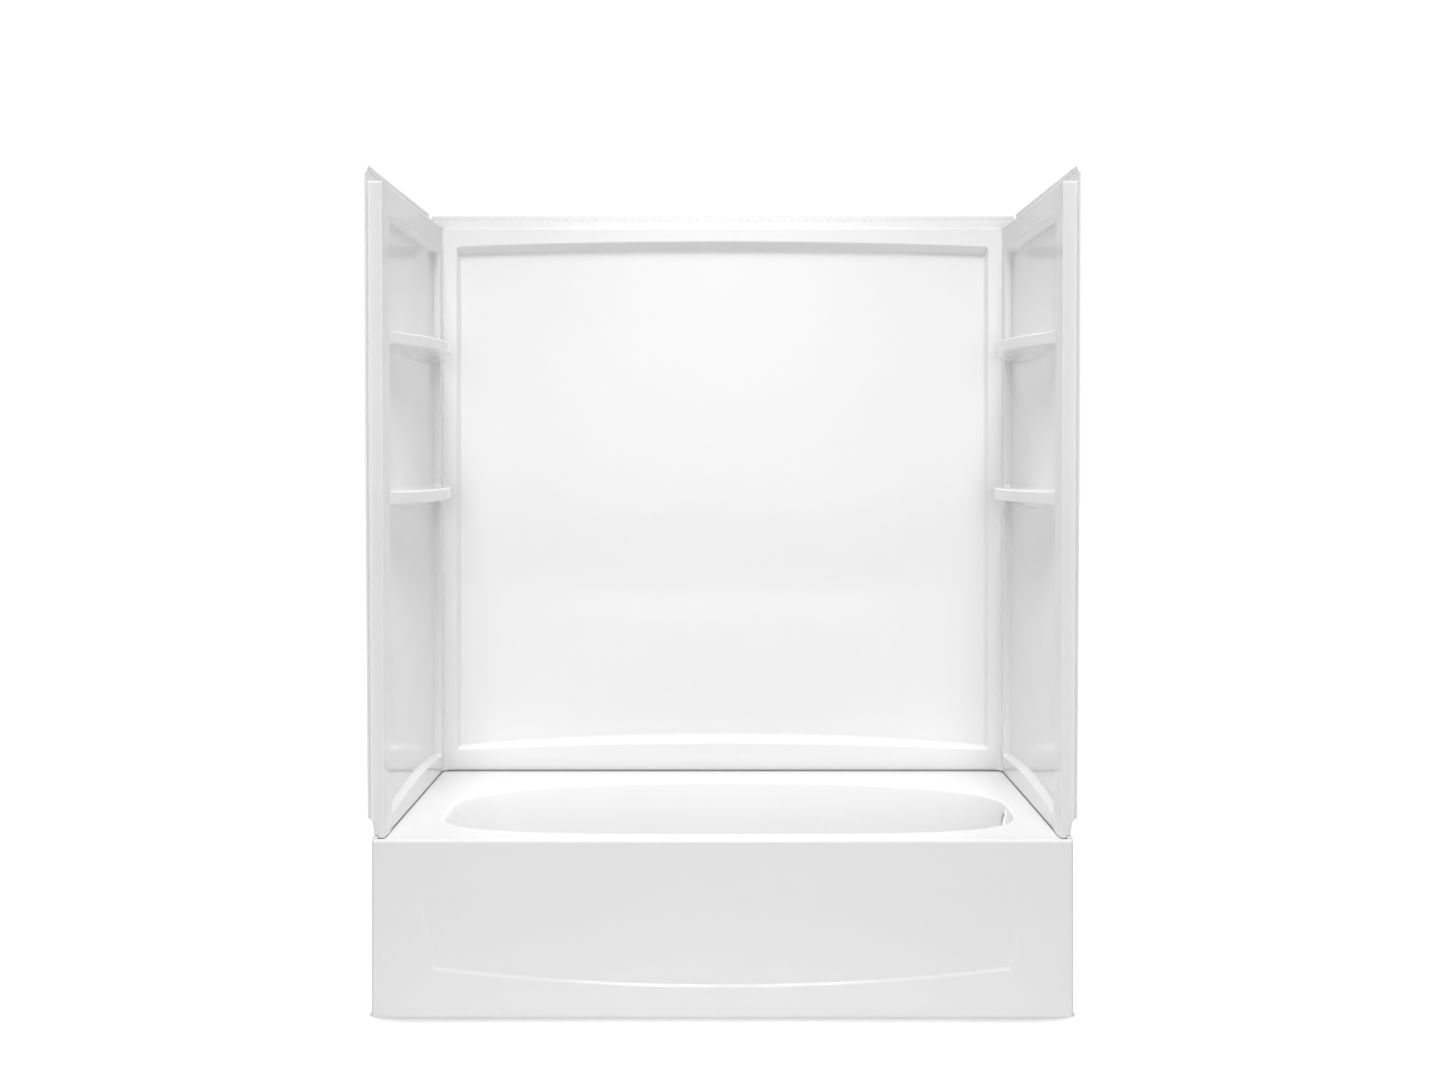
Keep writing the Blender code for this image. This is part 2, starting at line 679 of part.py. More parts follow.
def panel_ring(low, high, foot, head, depths, radius, along_steps, square=False):
    """One ring of a panel, as (along, up, depth), from the middle of its high head corner.

    foot and head are heights at the low end, middle and high end. depths are those
    of the foot, high side, head and low side. A square ring has its two corners
    on the high side sharp.
    """
    foot_depth, high_depth, head_depth, low_depth = depths
    corners = (
        (high, head[2], 1, 1, high_depth, head_depth, square),
        (low, head[0], -1, 1, head_depth, low_depth, False),
        (low, foot[0], -1, -1, low_depth, foot_depth, False),
        (high, foot[2], 1, -1, foot_depth, high_depth, square),
    )
    middle, half = (low + high) / 2, (high - low) / 2 - radius
    ring = []
    for index, (x, z, sign_x, sign_z, depth_in, depth_out, sharp) in enumerate(corners):
        start = index * math.pi / 2
        way_in = Vector((-math.sin(start), math.cos(start)))
        way_out = Vector((-math.cos(start), -math.sin(start)))
        centre = Vector((x - sign_x * radius, z - sign_z * radius))
        for step in range(CORNER_STEPS + 1):
            share = step / CORNER_STEPS
            if sharp:
                spare = 2 * share - 1
                place = Vector((x, z)) + (way_out if spare > 0 else way_in) * radius * spare
                blend = 1.0 if spare > 0 or (spare == 0 and index == 0) else 0.0
            else:
                angle = start + share * math.pi / 2
                place = centre + radius * Vector((math.cos(angle), math.sin(angle)))
                blend = share
            ring.append((place.x, place.y, depth_in + (depth_out - depth_in) * blend))
        across = index % 2 == 0
        steps = along_steps if across else PANEL_UP
        values = head if index == 0 else foot
        for step in range(1, steps):
            share = 2 * step / steps - 1
            if across:
                spread = -share if index == 0 else share
                ring.append((middle + half * spread, crown(values, spread), depth_out))
            else:
                rise = (share + 1) / 2
                if index == 1:
                    top, bottom = head[0] - radius, foot[0] + radius
                    ring.append((low, top + (bottom - top) * rise, depth_out))
                else:
                    bottom, top = foot[2] + radius, head[2] - radius
                    ring.append((high, bottom + (top - bottom) * rise, depth_out))
    turn = CORNER_STEPS // 2
    return ring[turn:] + ring[:turn]


def open_count(along_steps):
    """Points of a ring from its high head corner round to its high foot corner."""
    return 3 * CORNER_STEPS + 2 * along_steps + PANEL_UP + 1


def panel_mesh(name, rings, place, facing, open_rings=0, open_points=0):
    """An open sheet through a panel's rings, closed by its flat field.

    The first open_rings rings leave out the panel's high side.
    """
    def build(shape):
        rows = []
        for index, ring in enumerate(rings):
            used = ring[:open_points] if index < open_rings else ring
            rows.append([shape.verts.new(place(*point)) for point in used])
        for index, (outer, inner) in enumerate(zip(rows, rows[1:])):
            count = len(outer)
            spans = range(count - 1) if index < open_rings else range(count)
            for step in spans:
                after = (step + 1) % count
                shape.faces.new((outer[step], outer[after], inner[after], inner[step]))
        field = shape.faces.new(rows[-1])
        field.normal_update()
        if field.normal.dot(Vector(facing)) < 0:
            bmesh.ops.reverse_faces(shape, faces=shape.faces)
    return mesh_from(name, build)


def add_thickness(item):
    """Give a moulded sheet its wall, behind the face that shows."""
    modifier = item.modifiers.new("wall", "SOLIDIFY")
    modifier.thickness = PANEL_WALL
    modifier.offset = -1
    modifier.use_even_offset = True
    modifier.use_quality_normals = True


def rounding(radius, step):
    """Inset and depth of a quarter round, from its outer side to the face."""
    angle = step / EDGE_STEPS * math.pi / 2
    return radius * (1 - math.cos(angle)), radius * (1 - math.sin(angle))


def slot_mesh(name, start, stop, height, place):
    """A row of nailing slots, as boxes along a flange."""
    count = int((stop - start - 2 * SLOT_END_MARGIN) / SLOT_PITCH) + 1
    first = (start + stop - (count - 1) * SLOT_PITCH) / 2
    half, half_width = SLOT_LENGTH / 2, SLOT_WIDTH / 2

    def build(shape):
        for index in range(count):
            along = first + index * SLOT_PITCH
            made = add_box(shape, (along - half, -OVERRUN, height - half_width),
                           (along + half, OVERRUN, height + half_width))
            for vertex in made:
                vertex.co = place(*vertex.co)
        bmesh.ops.recalc_face_normals(shape, faces=shape.faces)
    return mesh_from(name, build)


# Back wall

def back_wall_rings():
    """Rings of the back wall from its hidden returns to its recessed field."""
    rings = []
    base, top = PANEL_FOOT, LEDGE_HEIGHT
    back = BACK_WALL_SET - PANEL_WALL / 2
    corner = EDGE_RADIUS + PANEL_CORNER

    def outer(side_in, foot_in, head_in, depths, radius):
        foot, head = base + foot_in, top - head_in
        return panel_ring(-BACK_FACE_HALF + side_in, BACK_FACE_HALF - side_in, (foot,) * 3, (head,) * 3,
                          depths, radius, BACK_ALONG)

    rings.append(outer(0, 0, 0, (FOOT_DEPTH, back, back, back), corner))
    for step in range(EDGE_STEPS + 1):
        side_in, side_depth = rounding(FOOT_RADIUS, step)
        head_in, head_depth = rounding(EDGE_RADIUS, step)
        rings.append(outer(side_in, side_in, head_in, (side_depth, side_depth, head_depth, side_depth),
                           corner - head_in))
    foot = rises(BACK_FOOT_END_RISE, BACK_FOOT_MID_RISE, BACK_FOOT_END_RISE)
    head = drops(BACK_HEAD_END_DROP, BACK_HEAD_MID_DROP, BACK_HEAD_END_DROP)
    rings.append(panel_ring(-BACK_RECESS_HALF, BACK_RECESS_HALF, foot, head, (0, 0, 0, 0), RECESS_CORNER,
                            BACK_ALONG))
    half = BACK_RECESS_HALF - BACK_RECESS_DRAFT
    foot = rises(BACK_FIELD_FOOT_END_RISE, BACK_FIELD_FOOT_MID_RISE, BACK_FIELD_FOOT_END_RISE)
    head = drops(BACK_FIELD_HEAD_END_DROP, BACK_FIELD_HEAD_MID_DROP, BACK_FIELD_HEAD_END_DROP)
    rings.append(panel_ring(-half, half, foot, head, (BACK_RECESS_DEPTH,) * 4, RECESS_CORNER, BACK_ALONG))
    return rings


def place_back(along, up, depth):
    """A back wall point in the world. Its outer edge leans out with the end walls."""
    edge_share = max(0.0, abs(along) - BACK_RECESS_HALF) / (BACK_FACE_HALF - BACK_RECESS_HALF)
    lean = math.tan(SPLAY_ANGLE) * (up - DECK_HEIGHT) * edge_share
    return Vector((along + math.copysign(lean, along), BACK_FACE_Y + depth, up))


def back_flange_outline():
    """The back wall's nailing flange: down both sides and across its head."""
    inner = BACK_FACE_HALF - PANEL_WALL / 2
    inner_top = inner + SPLAY
    under = LEDGE_HEIGHT - PANEL_WALL / 2
    low = FLANGE_FOOT
    lean_low = inner + math.tan(SPLAY_ANGLE) * (low - DECK_HEIGHT)
    half = BACK_FLANGE_HALF
    return [(-half, low), (-lean_low, low), (-inner_top, under), (inner_top, under), (lean_low, low),
            (half, low), (half, FLANGE_TOP), (-half, FLANGE_TOP)]


def corner_screws():
    """Each corner clip screw as (place on the back flange's face, way in)."""
    places = []
    face_y = BACK_Y - PANEL_WALL
    out = PANEL_WALL + FIT_GAP + CLIP_WALL + CORNER_CLIP_FOOT / 2
    for share in CORNER_CLIP_HEIGHT_SHARES:
        height = PANEL_FOOT + share * (LEDGE_HEIGHT - PANEL_FOOT)
        lean = math.sin(SPLAY_ANGLE) * (height - DECK_HEIGHT)
        for side in (-1, 1):
            x = side * (END_FACE_HALF + out + lean)
            places.append((Vector((x, face_y, height)), Vector((0, 1, 0))))
    return places


def make_back_wall(parts, tools):
    """The back wall: a recessed tray with returns and a nailing flange."""
    mesh = panel_mesh("back_wall", back_wall_rings(), place_back, (0, -1, 0))
    wall = add_object("back_wall", mesh, parts)
    add_thickness(wall)
    middle_y = BACK_Y - PANEL_WALL / 2
    flange = plate_mesh("back_flange", back_flange_outline(), PANEL_WALL,
                        lambda x, z, y: Vector((x, middle_y - y, z)))
    join(wall, as_tool(add_object("back_flange", flange, tools)))
    relief = box_mesh("back_wall_foot_notch",
                      ((-HALF_LENGTH, BACK_Y - BEAD_WIDTH - FIT_GAP, DECK_HEIGHT),
                       (HALF_LENGTH, BACK_Y + OVERRUN, UPSTAND_TOP + FIT_GAP)))
    cut(wall, as_tool(add_object("back_wall_foot_notch", relief, tools)))
    cut(wall, as_tool(add_object("corner_pilots", pilot_mesh(corner_screws()), tools)))
    slots = slot_mesh("back_slots", -BACK_FLANGE_HALF, BACK_FLANGE_HALF, FLANGE_TOP - SLOT_DROP,
                      lambda along, depth, up: Vector((along, middle_y + depth, up)))
    cut(wall, as_tool(add_object("back_slots", slots, tools)))
    return wall


# End walls

def end_wall_rings():
    """Rings of an end wall from its hidden returns to its recessed field."""
    base, top = PANEL_FOOT, LEDGE_HEIGHT
    out = END_WALL_SET - PANEL_WALL / 2
    corner = COLUMN_RADIUS + PANEL_CORNER

    def outer(front_in, foot_in, head_in, depths, radius):
        foot, head = base + foot_in, top - head_in
        return panel_ring(END_FRONT_Y + front_in, END_REAR_Y, (foot,) * 3, (head,) * 3, depths, radius,
                          END_ALONG, square=True)

    rings = [outer(0, 0, 0, (FOOT_DEPTH, 0, out, out), corner)]
    for step in range(EDGE_STEPS + 1):
        front_in, front_depth = rounding(COLUMN_RADIUS, step)
        foot_in, foot_depth = rounding(FOOT_RADIUS, step)
        head_in, head_depth = rounding(EDGE_RADIUS, step)
        rings.append(outer(front_in, foot_in, head_in, (foot_depth, 0, head_depth, front_depth),
                           corner - front_in))
    foot = rises(END_FOOT_FRONT_RISE, END_FOOT_MID_RISE, END_FOOT_REAR_RISE)
    head = drops(END_HEAD_END_DROP, END_HEAD_MID_DROP, END_HEAD_END_DROP)
    rings.append(panel_ring(END_RECESS_FRONT_Y, END_RECESS_REAR_Y, foot, head, (0, 0, 0, 0), RECESS_CORNER,
                            END_ALONG))
    foot = rises(END_FIELD_FOOT_FRONT_RISE, END_FIELD_FOOT_MID_RISE, END_FIELD_FOOT_REAR_RISE)
    head = drops(END_FIELD_HEAD_END_DROP, END_FIELD_HEAD_MID_DROP, END_FIELD_HEAD_END_DROP)
    rings.append(panel_ring(END_RECESS_FRONT_Y + END_RECESS_DRAFT, END_RECESS_REAR_Y - END_RECESS_DRAFT, foot,
                            head, (END_RECESS_DEPTH,) * 4, RECESS_CORNER, END_ALONG))
    return rings


def end_place(side):
    """Map an end wall's (along, up, depth) into its own leaning frame."""
    return lambda along, up, depth: Vector((side * depth, along, up - DECK_HEIGHT))


def bowed_front(front, rear, end_depth, reach):
    """A shelf's bowed front in plan, as (along, depth), from its front end to its rear."""
    middle, half = (front + rear) / 2, (rear - front) / 2
    points = []
    for index in range(SHELF_POINTS + 1):
        share = 2 * index / SHELF_POINTS - 1
        points.append((middle + half * share, end_depth - (end_depth + reach) * (1 - share ** 2)))
    return points


def shelf_slab(top, place):
    """Rings of a shelf's slab, from its eased top edge to its foot."""
    skin = PANEL_WALL / 2
    front, rear = END_RECESS_FRONT_Y - skin / 2, END_RECESS_REAR_Y + skin / 2
    field = END_RECESS_DEPTH + skin
    back = [(rear, skin), (rear - END_RECESS_DRAFT, field), (front + END_RECESS_DRAFT, field), (front, skin)]
    foot = top - SHELF_THICKNESS
    levels = ((top, SHELF_EDGE), (top - SHELF_EDGE, 0.0), (foot + SHELF_EDGE / 2, 0.0),
              (foot, SHELF_EDGE / 2))
    rings = []
    for up, inset in levels:
        bow = bowed_front(SHELF_FRONT_Y, SHELF_REAR_Y, skin / 2, SHELF_BULGE - inset)
        rings.append([place(along, up, depth) for along, depth in bow + back])
    return rings


def cove_reach(drop_share, reach_share):
    """A cove ring's end depth and bulge, between the slab's foot and the field."""
    field = END_RECESS_DEPTH + PANEL_WALL * COVE_SINK_SHARE
    bulge = SHELF_BULGE - SHELF_EDGE
    return field * drop_share, bulge * reach_share - field * (1 - reach_share)


def shelf_cove(top, place):
    """Rings of the cove under a shelf, from inside its slab down to the field."""
    skin = PANEL_WALL / 2
    front, rear = END_RECESS_FRONT_Y, END_RECESS_REAR_Y
    foot = top - SHELF_THICKNESS
    rings = []
    for rise, drop_share, reach_share in ((skin, 0.0, 1.0), (0.0, 0.0, 1.0)) + tuple(
            (0.0, *shares) for shares in SHELF_COVE_SHARES):
        end_depth, reach = cove_reach(drop_share, reach_share)
        end_depth = max(end_depth, skin / 2)
        drawn_in = END_RECESS_DRAFT * end_depth / END_RECESS_DEPTH - skin / 2
        bow = bowed_front(front + drawn_in, rear - drawn_in, end_depth, reach)
        edge = END_RECESS_DRAFT - skin / 2
        back = [(rear - edge, END_RECESS_DEPTH + skin), (front + edge, END_RECESS_DEPTH + skin)]
        up = foot + rise - SHELF_COVE * drop_share
        rings.append([place(along, up, depth) for along, depth in bow + back])
    return rings


def shelf_hollow(top, place):
    """Rings of the hollow behind a shelf, open at the back of the panel."""
    inset = END_RECESS_DRAFT + PANEL_WALL
    front, rear = END_RECESS_FRONT_Y + inset, END_RECESS_REAR_Y - inset
    foot = top - SHELF_THICKNESS
    behind = END_RECESS_DEPTH + PANEL_WALL + OVERRUN
    rings = []
    for up, drop_share, reach_share in ((top - PANEL_WALL, 0.0, 1.0), (foot + PANEL_WALL, 0.0, 1.0)) + tuple(
            (foot + PANEL_WALL - SHELF_COVE * shares[0], *shares) for shares in SHELF_COVE_SHARES[:-1]):
        end_depth, reach = cove_reach(drop_share, reach_share)
        bow = bowed_front(front, rear, end_depth + PANEL_WALL, reach - PANEL_WALL)
        back = [(rear, behind), (front, behind)]
        rings.append([place(along, up, depth) for along, depth in bow + back])
    return rings


def end_flange_outline():
    """An end wall's nailing flange: up its front and along its head."""
    front = END_FRONT_Y - FRONT_FLANGE_REACH
    inner = END_FRONT_Y + PANEL_WALL / 2
    under = LEDGE_HEIGHT - PANEL_WALL / 2
    low, top = FLANGE_FOOT, FLANGE_TOP
    run, drop = FLANGE_CHAMFER_RUN, FLANGE_CHAMFER_DROP
    rear = BACK_Y - HEAD_FLANGE_SETBACK
    return [(inner, low), (inner, under), (rear, under), (rear, top),
            (front + run, top), (front, top - drop), (front, low + drop), (front + drop, low)]


def make_end_wall(name, side, frame, parts, tools):
    """An end wall: a recessed tray with a front column, two shelves and a flange."""
    place = end_place(side)
    mesh = panel_mesh(name, end_wall_rings(), place, (-side, 0, 0), EDGE_STEPS + 1, open_count(END_ALONG))
    wall = add_object(name, mesh, parts, frame)
    add_thickness(wall)
    middle = END_WALL_SET - PANEL_WALL / 2
    flange = plate_mesh(f"{name}_flange", end_flange_outline(), PANEL_WALL,
                        lambda y, z, x: Vector((side * (middle + x), y, z - DECK_HEIGHT)))
    join(wall, as_tool(add_object(flange.name, flange, tools, frame)))
    shelves = (("upper", UPPER_SHELF_TOP), ("lower", LOWER_SHELF_TOP))
    for label, top in shelves:
        for form, rings in (("slab", shelf_slab(top, place)), ("cove", shelf_cove(top, place))):
            solid = loft_mesh(f"{name}_{label}_{form}", rings)
            join(wall, as_tool(add_object(solid.name, solid, tools, frame)))
    for label, top in shelves:
        hollow = loft_mesh(f"{name}_{label}_hollow", shelf_hollow(top, place))
        cut(wall, as_tool(add_object(hollow.name, hollow, tools, frame)))
    bead_in = HALF_LENGTH - BEAD_WIDTH - FIT_GAP - END_FACE_HALF
    notch = box_mesh(f"{name}_notch",
                     ((side * bead_in, END_FRONT_Y - OVERRUN, -OVERRUN),
                      (side * (END_WALL_SET + OVERRUN), APRON_Y + UPSTAND_SETBACK, BEAD_HEIGHT + FIT_GAP)))
    flip_if_inside_out(notch)
    cut(wall, as_tool(add_object(notch.name, notch, tools, frame)))
    slots = slot_mesh(f"{name}_slots", END_FRONT_Y, BACK_Y - HEAD_FLANGE_SETBACK, FLANGE_TOP - SLOT_DROP,
                      lambda along, depth, up: Vector((side * (middle + depth), along, up - DECK_HEIGHT)))
    cut(wall, as_tool(add_object(slots.name, slots, tools, frame)))
    return wall


def flip_if_inside_out(mesh):
    """Turn a closed mesh's faces outwards."""
    shape = bmesh.new()
    shape.from_mesh(mesh)
    bmesh.ops.recalc_face_normals(shape, faces=shape.faces)
    shape.to_mesh(mesh)
    shape.free()


# Seals

def make_seals(frames, material, parts):
    """Soft strips under the three walls and down the two corners."""
    low, high = DECK_HEIGHT + FIT_GAP, PANEL_FOOT - FIT_GAP
    inner, outer = SEAL_SETBACK, FOOT_DEPTH - SEAL_SETBACK
    half = BACK_FACE_HALF - SEAL_SETBACK
    back = box_mesh("back_deck_seal", ((-half, BACK_FACE_Y + inner, low), (half, BACK_FACE_Y + outer, high)))
    finish_part(add_object("back_deck_seal", back, parts), material)
    for label, side in (("left", -1), ("right", 1)):
        deck = box_mesh(f"{label}_deck_seal",
                        ((side * (END_FACE_HALF + inner), END_FRONT_Y + SEAL_SETBACK, low),
                         (side * (END_FACE_HALF + outer), END_REAR_Y - SEAL_SETBACK, high)))
        flip_if_inside_out(deck)
        finish_part(add_object(deck.name, deck, parts), material)
        corner = box_mesh(f"{label}_corner_seal",
                          ((-side * FIT_GAP, BACK_FACE_Y + CORNER_SEAL_SETBACK, high - DECK_HEIGHT),
                           (-side * (CORNER_GAP - FIT_GAP),
                            BACK_FACE_Y + CORNER_SEAL_SETBACK + CORNER_SEAL_WIDTH,
                            LEDGE_HEIGHT - EDGE_RADIUS - DECK_HEIGHT)))
        flip_if_inside_out(corner)
        finish_part(add_object(corner.name, corner, parts, frames[side]), material)


# Clips and screws

def corner_clip_outline():
    """Section of a corner clip: a channel on the end wall's edge and a foot."""
    wall, gap = CLIP_WALL, FIT_GAP
    inner, outer = -gap - wall, PANEL_WALL + gap + wall
    tip = END_REAR_Y - CORNER_CLIP_GRIP
    web = END_REAR_Y + gap
    seat = BACK_Y - PANEL_WALL - gap
    foot = outer + CORNER_CLIP_FOOT
    return [(inner, tip), (inner + wall, tip), (inner + wall, web), (outer - wall, web),
            (outer - wall, tip), (outer, tip), (outer, seat - wall), (foot, seat - wall),
            (foot, seat), (outer - wall, seat), (outer - wall, web + wall), (inner, web + wall)]


def make_corner_clips(label, side, frame, material, parts, tools):
    """The clips that hold one end wall's rear edge to the back wall's flange."""
    holes = [hole_mesh(place, way) for place, way in corner_screws() if place.x * side > 0]
    span = LEDGE_HEIGHT - PANEL_FOOT
    for index, share in enumerate(CORNER_CLIP_HEIGHT_SHARES):
        middle = PANEL_FOOT + share * span - DECK_HEIGHT
        name = f"{label}_corner_clip_{index + 1}"
        mesh = plate_mesh(name, corner_clip_outline(), CORNER_CLIP_LENGTH,
                          lambda x, y, z, middle=middle: Vector((side * x, y, z + middle)))
        clip = add_object(name, mesh, parts, frame)
        cut(clip, as_tool(add_object(f"{name}_hole", holes[index], tools)))
        finish_part(clip, material)


def hole_mesh(place, way):
    """A clearance hole through a clip for one screw."""
    return cylinder_mesh("hole", place - way * 2 * (CLIP_WALL + FIT_GAP), place + way * FIT_GAP / 2,
                         SCREW_DIAMETER + 2 * FIT_GAP, SCREW_POINTS)


def deck_clip_outline(reach):
    """Section of a deck clip: a leg on the upstand and an arm over a wall's foot."""
    low = PANEL_FOOT + PANEL_WALL + FIT_GAP
    high = UPSTAND_TOP - DECK_CLIP_HEADROOM
    near, wall = FIT_GAP, CLIP_WALL
    return [(near, low), (reach, low), (reach, low + wall), (near + wall, low + wall),
            (near + wall, high), (near, high)]


def make_deck_clips(material, parts, tools):
    """The clips that hold the walls' feet down on the deck."""
    back_reach = BACK_WALL_SET - UPSTAND_WALL - FOOT_DEPTH / 2
    end_reach = HALF_LENGTH - UPSTAND_WALL - END_FACE_HALF - FOOT_DEPTH / 2
    counts = {"back": 0, "left": 0, "right": 0}
    for place, way in deck_screws():
        if way.y > 0:
            label, reach = "back", back_reach

            def seat(u, z, w, x=place.x):
                return Vector((x + w, BACK_Y - UPSTAND_WALL - u, z))
        else:
            label, reach = ("right" if way.x > 0 else "left"), end_reach

            def seat(u, z, w, y=place.y, side=way.x):
                return Vector((side * (HALF_LENGTH - UPSTAND_WALL - u), y + w, z))
        counts[label] += 1
        name = f"{label}_deck_clip_{counts[label]}"
        clip = add_object(name, plate_mesh(name, deck_clip_outline(reach), DECK_CLIP_LENGTH, seat), parts)
        cut(clip, as_tool(add_object(f"{name}_hole", hole_mesh(place, way), tools)))
        finish_part(clip, material)


def screw_mesh():
    """A pan-head screw, turned about Z, its head's seat at the origin and its point down."""
    shank, head = SCREW_DIAMETER / 2, SCREW_HEAD_DIAMETER / 2
    crown = (head * SCREW_CROWN_SHARE, SCREW_HEAD_HEIGHT)
    shoulder = (head, SCREW_HEAD_HEIGHT * SCREW_SHOULDER_SHARE)
    profile = [(0, SCREW_HEAD_HEIGHT), crown, shoulder, (head, 0), (shank, 0),
               (shank, shank - SCREW_LENGTH), (0, -SCREW_LENGTH)]
    shape = bmesh.new()
    points = [shape.verts.new((radius, 0, height)) for radius, height in profile]
    for first, second in zip(points, points[1:]):
        shape.edges.new((first, second))
    mesh = bpy.data.meshes.new("screw_profile")
    shape.to_mesh(mesh)
    shape.free()
    turned = bpy.data.objects.new("screw_profile", mesh)
    bpy.context.scene.collection.objects.link(turned)
    modifier = turned.modifiers.new("turn", "SCREW")
    modifier.steps = SCREW_POINTS
    modifier.render_steps = SCREW_POINTS
    modifier.use_merge_vertices = True
    modifier.merge_threshold = SCREW_DIAMETER * WELD_SHARE
    bpy.context.view_layer.update()
    solid = bpy.data.meshes.new_from_object(turned.evaluated_get(bpy.context.evaluated_depsgraph_get()))
    bpy.data.objects.remove(turned)
    flip_if_inside_out(solid)
    return solid


def make_screws(label, screws, material, parts):
    """Identical screws, each its own object on the one mesh."""
    pattern = screw_mesh()
    finish_mesh(pattern, material)
    for index, (place, way) in enumerate(screws):
        screw = add_object(f"{label}_{index + 1}", pattern, parts)
        screw.location = place - way * (CLIP_WALL + 2 * FIT_GAP)
        screw.rotation_euler = Vector((0, 0, -1)).rotation_difference(way).to_euler()


def make_unit():
    """Build every piece of the unit."""
    clear_scene()
    parts = new_collection("tub_and_shower_unit")
    tools = new_collection("cutters")
    bath_white = make_material("bath_white", (0.93, 0.93, 0.93), 0.12)
    panel_white = make_material("panel_white", (0.93, 0.93, 0.93), 0.14)
    seal_white = make_material("seal_white", (0.86, 0.86, 0.85), 0.55)
    clip_grey = make_material("clip_grey", (0.55, 0.56, 0.57), 0.45)
    screw_steel = make_material("screw_steel", (0.62, 0.62, 0.61), 0.32, 1.0)
    pad_foam = make_material("pad_foam", (0.88, 0.88, 0.86), 0.9)

    frames = {}
    for label, side in (("left", -1), ("right", 1)):
        frame = add_object(f"{label}_end_frame", None, parts)
        frame.location = (side * END_FACE_HALF, 0, DECK_HEIGHT)
        frame.rotation_euler = (0, side * SPLAY_ANGLE, 0)
        frames[side] = frame
    bpy.context.view_layer.update()

    finish_part(make_bath(parts, tools), bath_white)
    finish_part(make_pad(parts, tools), pad_foam)
    finish_part(make_back_wall(parts, tools), panel_white)
    for label, side in (("left", -1), ("right", 1)):
        wall = make_end_wall(f"{label}_end_wall", side, frames[side], parts, tools)
        finish_part(wall, panel_white)
        make_corner_clips(label, side, frames[side], clip_grey, parts, tools)
    make_seals(frames, seal_white, parts)
    make_deck_clips(clip_grey, parts, tools)
    make_screws("corner_clip_screw", corner_screws(), screw_steel, parts)
    make_screws("deck_clip_screw", deck_screws(), screw_steel, parts)
    bpy.context.view_layer.update()


make_unit()
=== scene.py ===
"""Looks of the tub and shower unit.

The moulded bath, its three wall panels and the two corner seals are built again
here as fine smooth meshes, from the CAD model's own sizes, and stand for their CAD
nodes. The deck seals, clips, screws and the pad stay as packed and get their
materials. The deck seals are painted dark grey, darker than recorded, as painted
shade for the shadowed joint lines between the walls and the deck.
"""
import math

import bmesh
import bpy
import numpy as np
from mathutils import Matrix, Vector


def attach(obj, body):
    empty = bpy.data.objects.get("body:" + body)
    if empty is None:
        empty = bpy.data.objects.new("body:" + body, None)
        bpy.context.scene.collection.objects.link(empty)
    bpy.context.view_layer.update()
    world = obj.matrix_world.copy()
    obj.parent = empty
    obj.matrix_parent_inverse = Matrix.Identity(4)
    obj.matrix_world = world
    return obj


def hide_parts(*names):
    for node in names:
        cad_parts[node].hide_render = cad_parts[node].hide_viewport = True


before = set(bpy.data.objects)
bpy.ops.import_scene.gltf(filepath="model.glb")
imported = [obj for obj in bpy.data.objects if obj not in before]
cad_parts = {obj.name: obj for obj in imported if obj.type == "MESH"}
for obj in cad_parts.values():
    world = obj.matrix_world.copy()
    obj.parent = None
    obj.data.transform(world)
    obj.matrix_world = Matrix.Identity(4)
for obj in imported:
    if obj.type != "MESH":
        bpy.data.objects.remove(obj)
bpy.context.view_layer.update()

MM = 0.001
WELD = 0.01 * MM

# Sizes repeated from the CAD model
HALF_LENGTH, HALF_DEPTH, DECK = 0.749, 0.381, 0.377
APRON_Y, BACK_Y = -HALF_DEPTH, HALF_DEPTH
BATH_WALL, PANEL_WALL = 0.005, 0.004
APRON_RADIUS, APRON_RETURN = 0.0065, 0.030
BEAD_WIDTH, BEAD_HEIGHT = 0.012, 0.006
UPSTAND_WALL, UPSTAND_HEIGHT, UPSTAND_SETBACK = 0.004, 0.028, 0.041
BASIN = dict(left=-0.655, right=0.669, front=-0.320, rear=0.211)
BASIN_X, BASIN_Y = (BASIN["left"] + BASIN["right"]) / 2, (BASIN["front"] + BASIN["rear"]) / 2
RIM_RADIUS, BASIN_DEPTH, FLOOR_RADIUS, FLOOR_FALL = 0.012, 0.318, 0.070, 0.008
SLOPES = dict(left=0.52, right=0.15, front=0.14, rear=0.17)
FRONT_POWER, REAR_POWER = 4.0, 2.3
PANEL_FOOT, LEDGE, FLANGE_TOP, FLANGE_FOOT = 0.3793, 1.786, 1.820, 0.411
END_FACE, END_SET, CORNER_GAP = 0.7205, 0.0395, 0.0028
SPLAY_ANGLE = math.atan2(0.005, LEDGE - DECK)
BACK_FACE_Y, BACK_HALF, BACK_FLANGE_HALF = 0.336, END_FACE - CORNER_GAP, 0.761
END_FRONT_Y, END_REAR_Y, HEAD_FLANGE_REAR = -0.371, 0.366, 0.333
SHELF_TOPS, SHELF_THICKNESS, SHELF_BULGE = (1.118, 1.4686), 0.0275, 0.068
SHELF_FRONT_Y, SHELF_REAR_Y = -0.316, 0.309
SLOT_HEIGHT = FLANGE_TOP - 12 * MM

# Sizes of this scene's own, where its shapes are finer or nearer the photograph's
# Each side's rim radius, and how far its edge lies outside the CAD model's opening
RIMS = dict(right=(5.6 * MM, 0.0), rear=(5.6 * MM, 0.0), left=(16 * MM, -12 * MM),
            front=(6 * MM, 6 * MM))
BACK_RECESS, END_RECESS = 0.018, 0.015
BACK_SET, END_OUTSIDE = 0.0409, END_SET - 0.7 * MM
FOOT_DEPTHS, LEDGE_RADIUS = (14 * MM, 5 * MM), 6 * MM
FOOT_ROLL, FOOT_ROLL_HEIGHT, END_ROLL_SHARE = 7.5 * MM, 0.052, 0.5
